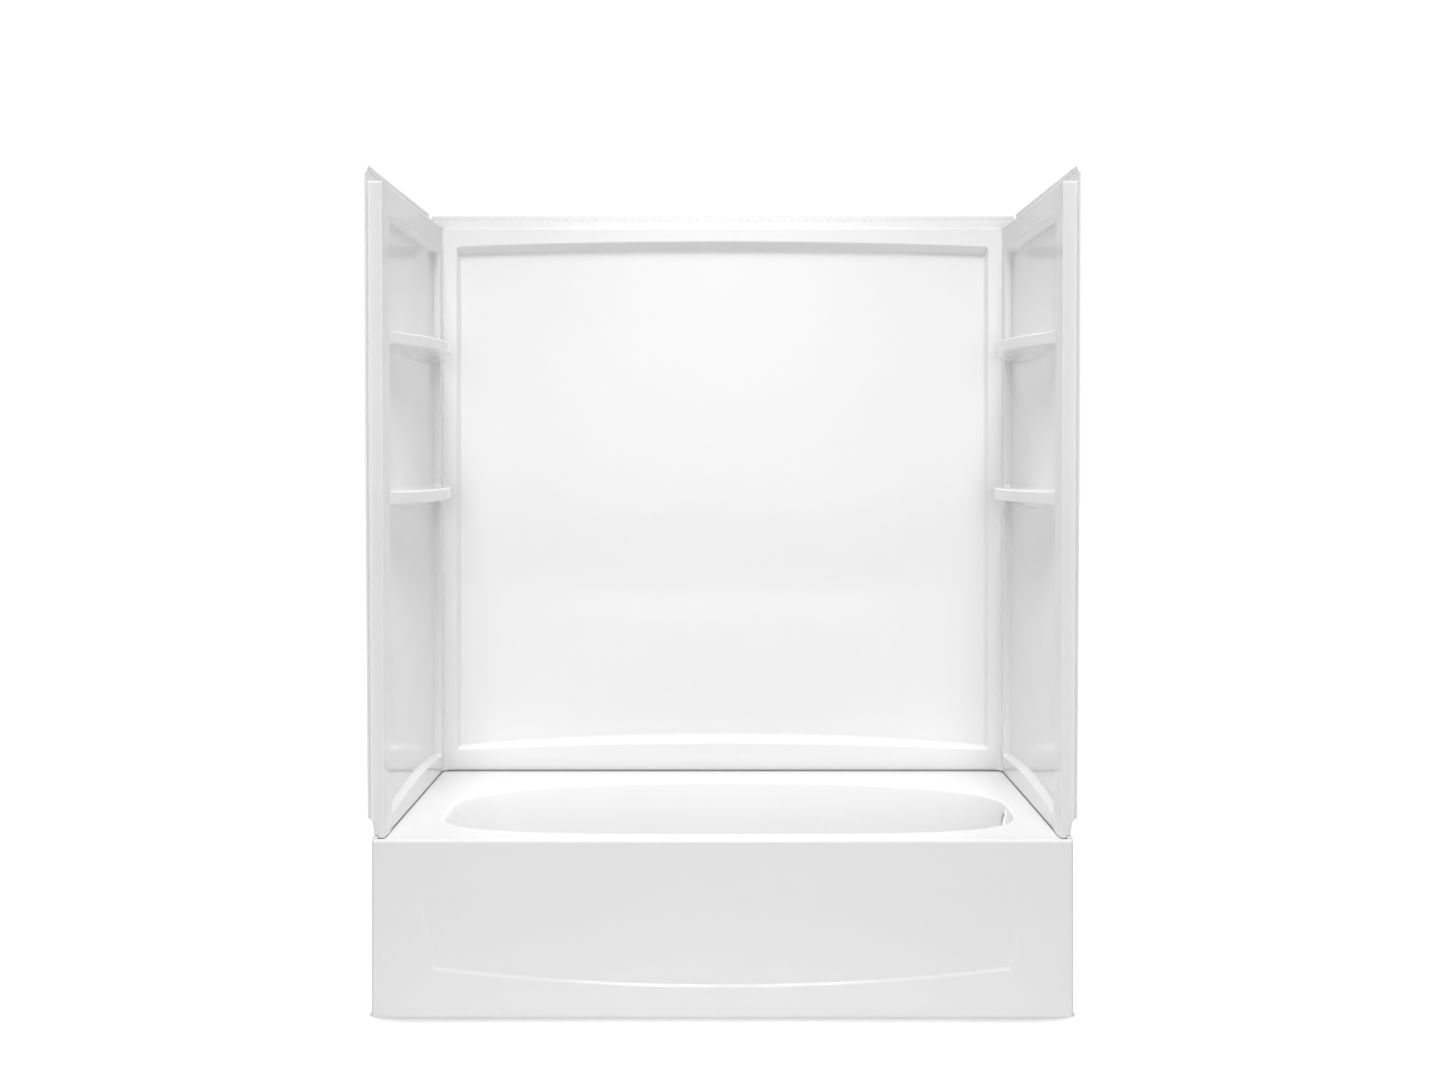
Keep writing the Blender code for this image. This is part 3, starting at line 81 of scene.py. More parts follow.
# Heights of the recesses' bowed edges at both ends and between: the foot on the
# face and on the field, then the head on the face and on the field
BACK_EDGES = ((0.432, 0.4488, 0.432), (0.4433, 0.4745, 0.4433),
              (1.7367, 1.751, 1.7367), (1.7167, 1.7206, 1.7167))
END_EDGES = ((0.412, 0.430, 0.424), (0.427, 0.446, 0.432),
             (1.723, 1.729, 1.722), (1.710, 1.712, 1.709))


# Materials

def tree_of(name):
    """A new material with its nodes, its links and its shader."""
    material = bpy.data.materials.new(name)
    material.use_nodes = True
    nodes = material.node_tree.nodes
    return material, nodes, material.node_tree.links, nodes["Principled BSDF"]


def noise(nodes, links, scale, detail=4.0, roughness=0.55):
    """A noise texture on the object's own coordinates, in metres."""
    coordinates = nodes.new("ShaderNodeTexCoord")
    texture = nodes.new("ShaderNodeTexNoise")
    texture.inputs["Scale"].default_value = scale
    texture.inputs["Detail"].default_value = detail
    texture.inputs["Roughness"].default_value = roughness
    links.new(coordinates.outputs["Object"], texture.inputs["Vector"])
    return texture.outputs["Fac"]


def seams(nodes, links, scale, stretch=1.0):
    """Distances to the seams between cells, which stretch makes longer upwards."""
    coordinates = nodes.new("ShaderNodeTexCoord")
    mapping = nodes.new("ShaderNodeMapping")
    mapping.inputs["Scale"].default_value = (1.0, 1.0, 1.0 / stretch)
    texture = nodes.new("ShaderNodeTexVoronoi")
    texture.feature = "DISTANCE_TO_EDGE"
    texture.inputs["Scale"].default_value = scale
    links.new(coordinates.outputs["Object"], mapping.inputs["Vector"])
    links.new(mapping.outputs["Vector"], texture.inputs["Vector"])
    return texture.outputs["Distance"]


def spread(nodes, links, value, low, high, start=0.3, stop=0.7):
    """Map a 0 to 1 texture onto a range."""
    mapped = nodes.new("ShaderNodeMapRange")
    mapped.inputs["From Min"].default_value = start
    mapped.inputs["From Max"].default_value = stop
    mapped.inputs["To Min"].default_value = low
    mapped.inputs["To Max"].default_value = high
    links.new(value, mapped.inputs["Value"])
    return mapped.outputs["Result"]


def mix_colour(nodes, links, share, first, second):
    """Blend two colours by a 0 to 1 value."""
    mixed = nodes.new("ShaderNodeMix")
    mixed.data_type = "RGBA"
    links.new(share, mixed.inputs["Factor"])
    mixed.inputs["A"].default_value = (*first, 1)
    mixed.inputs["B"].default_value = (*second, 1)
    return mixed.outputs["Result"]


def calculate(nodes, links, operation, *values):
    """The result of a math node. Each value is a number or a socket."""
    node = nodes.new("ShaderNodeMath")
    node.operation = operation
    for value, socket in zip(values, node.inputs):
        if isinstance(value, float):
            socket.default_value = value
        else:
            links.new(value, socket)
    return node.outputs[0]


def paint(nodes, links, shader, value, colours, roughness):
    """Vary a shader's colour and roughness with a texture.

    roughness holds the two ends for spread, and may go on with its start and stop.
    """
    links.new(mix_colour(nodes, links, value, *colours), shader.inputs["Base Color"])
    links.new(spread(nodes, links, value, *roughness), shader.inputs["Roughness"])


def bump(nodes, links, shader, layers):
    """Stack height layers, each (texture, strength, distance in metres)."""
    last = None
    for height, strength, distance in layers:
        node = nodes.new("ShaderNodeBump")
        node.inputs["Strength"].default_value = strength
        node.inputs["Distance"].default_value = distance
        links.new(height, node.inputs["Height"])
        if last is not None:
            links.new(last, node.inputs["Normal"])
        last = node.outputs["Normal"]
    links.new(last, shader.inputs["Normal"])


def moulded_white(name, light, shade, rough_low, rough_high):
    """Glossy moulded plastic: faint mould mottle, fine surface ripple, soft gloss."""
    material, nodes, links, shader = tree_of(name)
    cloud = noise(nodes, links, 5.0, 3.0)
    links.new(mix_colour(nodes, links, cloud, light, shade), shader.inputs["Base Color"])
    haze = noise(nodes, links, 22.0, 5.0)
    links.new(spread(nodes, links, haze, rough_low, rough_high), shader.inputs["Roughness"])
    shader.inputs["IOR"].default_value = 1.49
    ripple = noise(nodes, links, 55.0, 2.0, 0.4)
    grain = noise(nodes, links, 900.0, 2.0)
    bump(nodes, links, shader, [(ripple, 0.04, 0.05 * MM), (grain, 0.06, 0.01 * MM)])
    return material


def raw_back(name, light, shade):
    """The matte unpolished back of a moulding, with a fine fibre mat under it."""
    material, nodes, links, shader = tree_of(name)
    paint(nodes, links, shader, noise(nodes, links, 14.0, 6.0), (light, shade), (0.55, 0.75))
    bump(nodes, links, shader, [(seams(nodes, links, 160.0, 1 / 0.35), 0.35, 0.5 * MM),
                                (noise(nodes, links, 260.0, 4.0), 0.3, 0.3 * MM)])
    return material


def deck_seal_in_painted_shade():
    """Closed-cell sealing strip, slightly porous, painted dark grey as painted shade for its
    shadowed joint.
    """
    material, nodes, links, shader = tree_of("deck_seal_painted_shade")
    pores = noise(nodes, links, 1400.0, 3.0)
    # The strip's dark grey is painted shade for the shadow in the joint, not the strip's own
    # colour
    paint(nodes, links, shader, pores, ((0.28, 0.28, 0.27), (0.20, 0.20, 0.195)), (0.5, 0.72))
    bump(nodes, links, shader, [(pores, 0.5, 0.15 * MM)])
    return material


def clip_plastic():
    """Grey moulded clip with a light texture."""
    material, nodes, links, shader = tree_of("clip_plastic")
    paint(nodes, links, shader, noise(nodes, links, 60.0, 4.0),
          ((0.28, 0.29, 0.30), (0.22, 0.23, 0.24)), (0.36, 0.52))
    bump(nodes, links, shader, [(noise(nodes, links, 2200.0, 2.0), 0.35, 0.03 * MM)])
    return material


def plated_steel():
    """Zinc-plated screw steel with small bright and dull patches."""
    material, nodes, links, shader = tree_of("plated_steel")
    paint(nodes, links, shader, noise(nodes, links, 900.0, 5.0, 0.7),
          ((0.56, 0.56, 0.54), (0.42, 0.42, 0.41)), (0.24, 0.46))
    shader.inputs["Metallic"].default_value = 1.0
    bump(nodes, links, shader, [(noise(nodes, links, 3000.0, 2.0), 0.3, 0.01 * MM)])
    return material


def bead_foam():
    """Rigid bead foam: cells of a few millimetres with darker seams."""
    material, nodes, links, shader = tree_of("bead_foam")
    seam = spread(nodes, links, seams(nodes, links, 260.0), 0.0, 1.0, 0.0, 0.12)
    paint(nodes, links, shader, seam, ((0.62, 0.62, 0.60), (0.80, 0.80, 0.78)),
          (0.95, 0.8, 0.0, 1.0))
    bump(nodes, links, shader, [(seam, 0.6, 0.4 * MM)])
    return material


GLOSS_WHITE = ((0.86, 0.86, 0.86), (0.845, 0.845, 0.847), 0.06, 0.11)
BATH_WHITE = moulded_white("bath_gloss_white", *GLOSS_WHITE)
WALL_WHITE = moulded_white("wall_gloss_white", *GLOSS_WHITE)
SEALANT = moulded_white("silicone_white", (0.86, 0.86, 0.855), (0.84, 0.84, 0.835), 0.22, 0.30)
BATH_BACK = raw_back("bath_raw_back", (0.70, 0.70, 0.68), (0.60, 0.60, 0.575))
WALL_BACK = raw_back("wall_raw_back", (0.72, 0.72, 0.70), (0.62, 0.62, 0.60))


# Mesh helpers

def ramp(start, stop, count):
    """Evenly spaced values, both ends included."""
    return list(np.linspace(start, stop, count))


def between(first, last, count):
    """Rows evenly spaced from one row of values to another, both ends included."""
    return [first + (last - first) * share for share in ramp(0, 1, count)]


def arc(count, start=0, stop=90):
    """Evenly spaced angles given in degrees, as radians."""
    return np.radians(ramp(start, stop, count))


def weld(shape, distance):
    """Join what lies together and drop the edges and faces that collapse."""
    bmesh.ops.remove_doubles(shape, verts=shape.verts, dist=distance)
    bmesh.ops.dissolve_degenerate(shape, edges=shape.edges, dist=min(distance, WELD))


def sheet(name, points, keep=None):
    """A bmesh of the cells between rows and columns of points."""
    rows, columns = points.shape[:2]
    index = np.arange(rows * columns).reshape(rows, columns)
    cells = np.stack([index[:-1, :-1], index[:-1, 1:], index[1:, 1:], index[1:, :-1]], -1)
    if keep is not None:
        cells = cells[keep]
    mesh = bpy.data.meshes.new(name)
    mesh.from_pydata(points.reshape(-1, 3).tolist(), [], cells.reshape(-1, 4).tolist())
    shape = bmesh.new()
    shape.from_mesh(mesh)
    bpy.data.meshes.remove(mesh)
    weld(shape, 2 * WELD)
    loose = [vertex for vertex in shape.verts if not vertex.link_faces]
    bmesh.ops.delete(shape, geom=loose, context="VERTS")
    return shape


def face_towards(shape, point, way):
    """Turn every face so that the one nearest a point looks along way."""
    bmesh.ops.recalc_face_normals(shape, faces=shape.faces)
    shape.normal_update()
    target = Vector(point)
    nearest = min(shape.faces, key=lambda face: (face.calc_center_median() - target).length)
    if nearest.normal.dot(Vector(way)) < 0:
        bmesh.ops.reverse_faces(shape, faces=shape.faces)


def add_object(name, shape, *materials):
    """An object from a bmesh, linked to the scene."""
    mesh = bpy.data.meshes.new(name)
    shape.to_mesh(mesh)
    shape.free()
    item = bpy.data.objects.new(name, mesh)
    bpy.context.scene.collection.objects.link(item)
    for material in materials:
        mesh.materials.append(material)
    return item


def apply_modifiers(item):
    """Replace an object's mesh by its result and drop its modifiers."""
    bpy.context.view_layer.update()
    evaluated = item.evaluated_get(bpy.context.evaluated_depsgraph_get())
    result = bpy.data.meshes.new_from_object(evaluated)
    old = item.data
    item.modifiers.clear()
    item.data = result
    bpy.data.meshes.remove(old)


def boolean(item, operand, operation):
    """Apply one exact Boolean and remove its operand."""
    modifier = item.modifiers.new(operation, "BOOLEAN")
    modifier.operation = operation
    modifier.solver = "EXACT"
    modifier.object = operand
    apply_modifiers(item)
    mesh = operand.data
    bpy.data.objects.remove(operand)
    bpy.data.meshes.remove(mesh)


def smooth(item, angle=32):
    """Weld what the Booleans left open, then shade smooth with crisp edges past an angle."""
    shape = bmesh.new()
    shape.from_mesh(item.data)
    weld(shape, WELD)
    open_edges = [edge for edge in shape.edges if edge.is_boundary]
    bmesh.ops.holes_fill(shape, edges=open_edges, sides=6)
    bmesh.ops.recalc_face_normals(shape, faces=shape.faces)
    shape.to_mesh(item.data)
    shape.free()
    item.data.shade_smooth()
    item.data.set_sharp_from_angle(angle=math.radians(angle))


def cylinder(name, start, end, radius, points=72):
    """A cylinder object between two points."""
    start, end = Vector(start), Vector(end)
    shape = bmesh.new()
    made = bmesh.ops.create_cone(shape, cap_ends=True, segments=points, radius1=radius,
                                 radius2=radius, depth=(end - start).length)["verts"]
    turn = Vector((0, 0, 1)).rotation_difference(end - start).to_matrix()
    bmesh.ops.rotate(shape, verts=made, cent=(0, 0, 0), matrix=turn)
    bmesh.ops.translate(shape, verts=made, vec=(start + end) / 2)
    return add_object(name, shape)


def plan_prism(name, outline, low, high, ease):
    """A plan outline stood between two heights, with its top edges eased."""
    shape = bmesh.new()
    base = shape.faces.new([shape.verts.new((x, y, low)) for x, y in outline])
    lifted = bmesh.ops.extrude_face_region(shape, geom=[base])["geom"]
    top = [part for part in lifted if isinstance(part, bmesh.types.BMVert)]
    for vertex in top:
        vertex.co.z = high
    bmesh.ops.recalc_face_normals(shape, faces=shape.faces)
    rim = [edge for edge in shape.edges
           if all(vertex.co.z > high - MM / 10 for vertex in edge.verts)]
    bmesh.ops.bevel(shape, geom=rim, offset=ease, segments=3, profile=0.5, affect="EDGES")
    return add_object(name, shape)


def add_grid(shape, points, closed=False):
    """Vertices and quads of a grid of points, which may close on itself along its rows."""
    rows = [[shape.verts.new(point) for point in row] for row in points]
    width = len(rows[0])
    for upper, lower in zip(rows, rows[1:]):
        for step in range(width if closed else width - 1):
            after = (step + 1) % width
            shape.faces.new((upper[step], upper[after], lower[after], lower[step]))
    return rows


def add_tube(shape, rows):
    """A tube through closed rows of points, with both ends capped."""
    made = add_grid(shape, rows, closed=True)
    shape.faces.new(made[0])
    shape.faces.new(made[-1][::-1])


def slot_cutters(name, start, stop, place):
    """A row of round-ended nailing slots as one cutter.

    place turns (along, depth, height) into a point on the wall.
    """
    pitch, half, radius, margin, reach = 19 * MM, 4.5 * MM, 1.75 * MM, 9 * MM, 8 * MM
    count = int((stop - start - 2 * margin) / pitch) + 1
    first = (start + stop - (count - 1) * pitch) / 2
    shape = bmesh.new()
    for index in range(count):
        middle = first + index * pitch
        ring = []
        for side in (1, -1):
            for step in range(7):
                angle = -math.pi / 2 + step * math.pi / 6
                ring.append((middle + side * (half - radius + radius * math.cos(angle)),
                             SLOT_HEIGHT + side * radius * math.sin(angle)))
        add_tube(shape, [[place(along, way * reach, up) for along, up in ring] for way in (-1, 1)])
    bmesh.ops.recalc_face_normals(shape, faces=shape.faces)
    return add_object(name, shape)


def eased(share, face=0.12, field=0.36):
    """A step from 0 to 1 with a tight fillet at the face and a wider one at the field."""
    share = np.clip(share, 0, 1)
    slope = 1 / (1 - (face + field) / 2)
    step = np.where(share < face, slope * share ** 2 / (2 * face), slope * (share - face / 2))
    return np.where(share > 1 - field, 1 - slope * (1 - share) ** 2 / (2 * field), step)


def crown(low, middle, high, share):
    """A shallow arc through three heights, for a share from -1 to 1."""
    share = np.clip(share, -1, 1)
    return middle + (high - low) / 2 * share + ((low + high) / 2 - middle) * share ** 2


# corner_share halves its range this often, and rounds shares this near an end
HALVINGS, SHARE_END = 22, 0.00001


def corner_share(across, along, width, band, face_radius=9 * MM, field_radius=3 * MM):
    """How far down a recess's flank a point lies: 0 on the face, 1 on the field.

    across and along are distances past the field's straight edges, and width and
    band the flank's widths there. The outline's corner tightens on the way down.
    """
    low = np.zeros(np.broadcast(across, along).shape)
    high = np.ones_like(low)
    for _ in range(HALVINGS):
        share = (low + high) / 2
        radius = face_radius + (field_radius - face_radius) * share
        x = across - width * (1 - share) + radius
        y = along - band * (1 - share) + radius
        past = np.hypot(np.maximum(x, 0), np.maximum(y, 0)) + np.minimum(np.maximum(x, y), 0)
        high = np.where(past > radius, share, high)
        low = np.where(past > radius, low, share)
    return np.where(high > 1 - SHARE_END, 1.0, np.where(low < SHARE_END, 0.0, low))


# Bath

def basin_inset(drop, slope):
    """The basin wall's distance from the opening's edge at a depth, as in the CAD model."""
    rim = min(drop, RIM_RADIUS)
    inset = math.sqrt(max(0.0, RIM_RADIUS ** 2 - (RIM_RADIUS - rim) ** 2))
    inset += slope * max(0.0, drop - RIM_RADIUS)
    into = max(0.0, drop - (BASIN_DEPTH - FLOOR_RADIUS))
    return inset + FLOOR_RADIUS - math.sqrt(max(0.0, FLOOR_RADIUS ** 2 - into ** 2))


def basin_profile(slope, radius, shift):
    """(inset, drop) pairs down one side: rolled rim, straight wall and the floor's fillet."""
    rim_steps, wall_steps, fillet_steps = 8, 12, 10
    turn = math.pi / 2 - math.atan(slope)
    pairs = [(radius * math.sin(turn * k / rim_steps) - shift,
              radius * (1 - math.cos(turn * k / rim_steps))) for k in range(rim_steps + 1)]
    start_inset, start_drop = pairs[-1]
    wall_end = BASIN_DEPTH - FLOOR_RADIUS
    end_inset = basin_inset(wall_end, slope)
    for share in ramp(0, 1, wall_steps + 1)[1:]:
        pairs.append((start_inset + (end_inset - start_inset) * share,
                      start_drop + (wall_end - start_drop) * share))
    for k in range(1, fillet_steps + 1):
        drop = wall_end + FLOOR_RADIUS * math.sin(k / fillet_steps * math.pi / 2)
        pairs.append((basin_inset(drop, slope), drop))
    return pairs


def floor_fall(x):
    """How far the basin's floor has fallen towards the drain end at x."""
    return FLOOR_FALL * (x - BASIN["left"]) / (BASIN["right"] - BASIN["left"])


def floor_height(x):
    """The basin floor's height at x."""
    return DECK - BASIN_DEPTH - floor_fall(x)


def basin_rings(count):
    """The basin from 1 mm outside its rim to its floor, as closed rings of points."""
    profiles = [basin_profile(SLOPES[side], *RIMS[side])
                for side in ("right", "rear", "left", "front")]
    reaches = (BASIN["right"] - BASIN_X, BASIN["rear"] - BASIN_Y,
               BASIN_X - BASIN["left"], BASIN_Y - BASIN["front"])
    profiles = [[(pairs[0][0] - MM, 0.0)] + pairs for pairs in profiles]
    rings = []
    for step in range(len(profiles[0])):
        right, rear, left, front = [reach - pairs[step][0]
                                    for reach, pairs in zip(reaches, profiles)]
        drops = [pairs[step][1] for pairs in profiles]
        ring = []
        for index in range(count):
            angle = index / count * math.tau
            run, rise = math.cos(angle), math.sin(angle)
            power = REAR_POWER if rise > 0 else FRONT_POWER
            reach = (abs(run) ** power + abs(rise) ** power) ** (-1 / power)
            x = BASIN_X + reach * run * (right if run > 0 else left)
            y = BASIN_Y + reach * rise * (rear if rise > 0 else front)
            # The end's and the side's drops mix by the way the outline faces
            slope_x = (reach * abs(run)) ** (power - 1) / reaches[0]
            slope_y = (reach * abs(rise)) ** (power - 1) / reaches[1]
            share = slope_x ** 2 / (slope_x ** 2 + slope_y ** 2)
            drop = drops[0 if run > 0 else 2] * share + drops[1 if rise > 0 else 3] * (1 - share)
            ring.append((x, y, DECK - drop - floor_fall(x) * drop / BASIN_DEPTH))
        rings.append(ring)
    last = rings[-1]
    for shrink in (0.97, 0.8, 0.55, 0.3, 0.12):
        ring = [(BASIN_X + (x - BASIN_X) * shrink, BASIN_Y + (y - BASIN_Y) * shrink)
                for x, y, _ in last]
        rings.append([(x, y, floor_height(x)) for x, y in ring])
    return rings


def relief_depth(x, z):
    """Depth of the apron's relief: flush at its head, deepest along its foot."""
    flush, half_top, half_foot, end_z, mid_z = 0.262, 0.649, 0.618, 0.101, 0.063
    deepest, radius, flank, started, fillet = 7 * MM, 7 * MM, 6 * MM, 0.15, 0.35
    lean = (half_top - half_foot) / (flush - end_z)
    foot = mid_z + (end_z - mid_z) * (x / half_foot) ** 2
    side = half_foot + lean * (z - end_z)
    deep = deepest * np.clip((flush - z) / (flush - mid_z), 0, 1)
    across = np.abs(x) - (side - radius)
    along = (foot + radius) - z
    inner = np.where((across > 0) & (along > 0), radius - np.hypot(across, along),
                     np.minimum(side - np.abs(x), z - foot))
    return deep * eased(np.clip(inner / flank + started, 0, 1), fillet, fillet)


def apron_points(inset):
    """The apron as rows from its foot to the deck and columns from return to return.

    inset is 0 for its outside and the wall for its inside.
    """
    radius = APRON_RADIUS - inset
    centre_x, centre_y = HALF_LENGTH - APRON_RADIUS, APRON_Y + APRON_RADIUS
    top = DECK - APRON_RADIUS
    columns = [(-1, y, 180.0) for y in ramp(APRON_Y + APRON_RETURN, centre_y + MM, 3)]
    columns += [(-1, centre_y, angle) for angle in ramp(180, 270, 9)]
    # Fine columns cross the relief's sides, between these two distances
    inside, outside = 0.585, 0.66
    spans = ramp(-centre_x + MM, -outside, 6)[:-1] + ramp(-outside, -inside, 30)[:-1]
    spans += ramp(-inside, inside, 90)[:-1]
    spans += ramp(inside, outside, 30)[:-1] + ramp(outside, centre_x - MM, 6)
    columns += [(x / centre_x, centre_y, 270.0) for x in spans]
    columns += [(1, centre_y, angle) for angle in ramp(270, 360, 9)]
    columns += [(1, y, 360.0) for y in ramp(centre_y + MM, APRON_Y + APRON_RETURN, 3)]
    # Fine rows cross the relief's foot
    heights = [0.0, MM, 0.03] + ramp(0.05, 0.12, 48)[:-1] + ramp(0.12, 0.27, 24)[:-1]
    rows = [(z, 0.0) for z in heights + [0.27, 0.3, 0.34, top - MM, top]]
    rows += [(top + radius * math.sin(beta), radius * (1 - math.cos(beta)))
             for beta in arc(9, 10)]
    rows.append((DECK - inset, radius + MM))
    points = np.zeros((len(rows), len(columns), 3))
    for r, (z, shift) in enumerate(rows):
        for c, (share, y, angle) in enumerate(columns):
            way = math.radians(angle)
            fixed = y > APRON_Y + APRON_RETURN - MM / 10
            points[r, c] = (share * centre_x + radius * math.cos(way),
                            y + (0 if fixed else shift) + radius * math.sin(way), z)
    return points


def close_wall(shape, inner):
    """Give a sheet its inner side, at the places in inner, and a rim round its open edges."""
    outside = list(shape.faces)
    rim = [edge for edge in shape.edges if edge.is_boundary]
    twins = {vertex: shape.verts.new(place) for vertex, place in inner.items()}
    for edge in rim:
        loop = edge.link_loops[0]
        first, second = loop.vert, loop.link_loop_next.vert
        shape.faces.new((second, first, twins[first], twins[second]))
    for face in outside:
        back = shape.faces.new([twins[vertex] for vertex in reversed(face.verts)])
        back.material_index = 1


def make_bath():
    """The bath as one moulded shell."""
    count = 240
    rings = basin_rings(count)
    shape = bmesh.new()
    apron_rows = add_grid(shape, apron_points(0.0))
    inner = {}
    for row, places in zip(apron_rows, apron_points(BATH_WALL)):
        inner.update(zip(row, [Vector(place) for place in places]))
    ring_rows = add_grid(shape, rings, closed=True)
    floor_x = sum(vertex.co.x for vertex in ring_rows[-1]) / count
    floor_y = sum(vertex.co.y for vertex in ring_rows[-1]) / count
    hub = shape.verts.new((floor_x, floor_y, floor_height(floor_x)))
    for step in range(count):
        shape.faces.new((ring_rows[-1][step], ring_rows[-1][(step + 1) % count], hub))

    # The flat deck between the apron's top edge, the bath's ends and back, and the rim
    side_y = APRON_Y + APRON_RETURN + MM
    corners = [(HALF_LENGTH, side_y), (HALF_LENGTH, BACK_Y),
               (-HALF_LENGTH, BACK_Y), (-HALF_LENGTH, side_y)]
    outer_loop = apron_rows[-1] + [shape.verts.new((x, y, DECK)) for x, y in corners]
    edges = []
    for ring in (outer_loop, ring_rows[0]):
        for step, vertex in enumerate(ring):
            pair = (vertex, ring[(step + 1) % len(ring)])
            edges.append(shape.edges.get(pair) or shape.edges.new(pair))
    bmesh.ops.triangle_fill(shape, use_beauty=True, use_dissolve=False, edges=edges)
    face_towards(shape, (0, APRON_Y, 0.32), (0, -1, 0))
    for vertex in shape.verts:
        if vertex not in inner:
            inner[vertex] = vertex.co - vertex.normal * BATH_WALL
    for vertex in outer_loop[-4:]:
        inner[vertex] = vertex.co - Vector((0, 0, BATH_WALL))
    close_wall(shape, inner)
    weld(shape, WELD / 10)

    # The relief sinks the apron's front and back together
    for vertex in shape.verts:
        x, y, z = vertex.co
        if y < APRON_Y + BATH_WALL + MM and abs(x) < HALF_LENGTH - 0.05:
            vertex.co.y += float(relief_depth(x, z))
    bath = add_object("bath_shell", shape, BATH_WHITE, BATH_BACK)

    # Each strip is (name, width, height, front's distance from the apron, how far it
    # keeps inside the deck's edge, easing of its top edges)
    middle = DECK - BATH_WALL / 2
    strips = (("bead", BEAD_WIDTH, BEAD_HEIGHT, APRON_RADIUS, 0.2 * MM, 1.6 * MM),
              ("upstand", UPSTAND_WALL, UPSTAND_HEIGHT, UPSTAND_SETBACK, 0.4 * MM, 0.8 * MM))
    for name, wide, high, setback, shy, ease in strips:
        side, rear, front = HALF_LENGTH - shy, BACK_Y - shy, APRON_Y + setback
        inner_x, inner_y = HALF_LENGTH - wide, BACK_Y - wide
        outline = [(-side, front), (-inner_x, front), (-inner_x, inner_y), (inner_x, inner_y),
                   (inner_x, front), (side, front), (side, rear), (-side, rear)]
        boolean(bath, plan_prism(name, outline, middle, DECK + high, ease), "UNION")
    add_ribs(bath)
    add_drains(bath)
    smooth(bath)
    return bath


def add_ribs(bath):
    """Stiffening ribs behind the apron and under the rear deck."""
    half, apron_pitch, deck_pitch = 2 * MM, 0.230, 0.300
    apron_reach, deck_drop, clearance = 0.024, 0.032, 2.5 * MM
    middle = DECK - BATH_WALL / 2
    shape = bmesh.new()

    def prism(profile, x):
        """A plate between two copies of a profile of (y, z) points."""
        add_tube(shape, [[(x + way * half, y, z) for y, z in profile] for way in (-1, 1)])

    for step in range(-3, 4):
        x = step * apron_pitch
        fronts = [(APRON_Y + BATH_WALL / 2 + float(relief_depth(x, z)), z)
                  for z in ramp(clearance, middle, 60)]
        rear = APRON_Y + BATH_WALL + apron_reach
        prism(fronts + [(rear, middle), (rear, clearance)], x)
    for step in range(-2, 3):
        foot = DECK - BATH_WALL - deck_drop
        prism([(BASIN["rear"], foot), (BASIN["rear"], middle), (BACK_Y - BEAD_WIDTH, middle),
               (BACK_Y - BEAD_WIDTH, foot)], step * deck_pitch)
    bmesh.ops.recalc_face_normals(shape, faces=shape.faces)
    boolean(bath, add_object("ribs", shape), "UNION")


def add_drains(bath):
    """The drain's and the overflow's bosses and holes."""
    drain_set, overflow_drop = 0.055, 0.042
    drain_x = BASIN["right"] - basin_inset(BASIN_DEPTH, SLOPES["right"]) - drain_set
    floor = floor_height(drain_x)
    foot = floor - BATH_WALL - 4 * MM
    lean = math.atan(SLOPES["right"])
    wall_x = BASIN["right"] - basin_inset(overflow_drop, SLOPES["right"])
    centre = Vector((wall_x, BASIN_Y, DECK - overflow_drop))
    out = Vector((math.cos(lean), 0, -math.sin(lean)))

    def down(start, stop):
        """Two points on the drain's axis."""
        return (drain_x, BASIN_Y, start), (drain_x, BASIN_Y, stop)

    def through(near, far):
        """Two points on the overflow's axis."""
        return centre + out * near, centre + out * far

    boolean(bath, cylinder("drain_boss", *down(foot, floor - MM), 0.056), "UNION")
    boolean(bath, cylinder("overflow_boss", *through(2 * MM, 9 * MM), 0.033), "UNION")
    for name, ends, radius, points in (
            ("drain_recess", down(floor - 3 * MM, floor + 10 * MM), 0.045, 96),
            ("drain_hole", down(foot - 10 * MM, floor + 10 * MM), 0.026, 72),
            ("overflow_hole", through(-20 * MM, 20 * MM), 0.025, 72)):
        boolean(bath, cylinder(name, *ends, radius, points), "DIFFERENCE")


# Wall panels

def foot_roll(z):
    """How far a panel's foot eases back towards the joint with the deck."""
    return FOOT_ROLL * np.clip((PANEL_FOOT + FOOT_ROLL_HEIGHT - z) / FOOT_ROLL_HEIGHT, 0, 1) ** 2


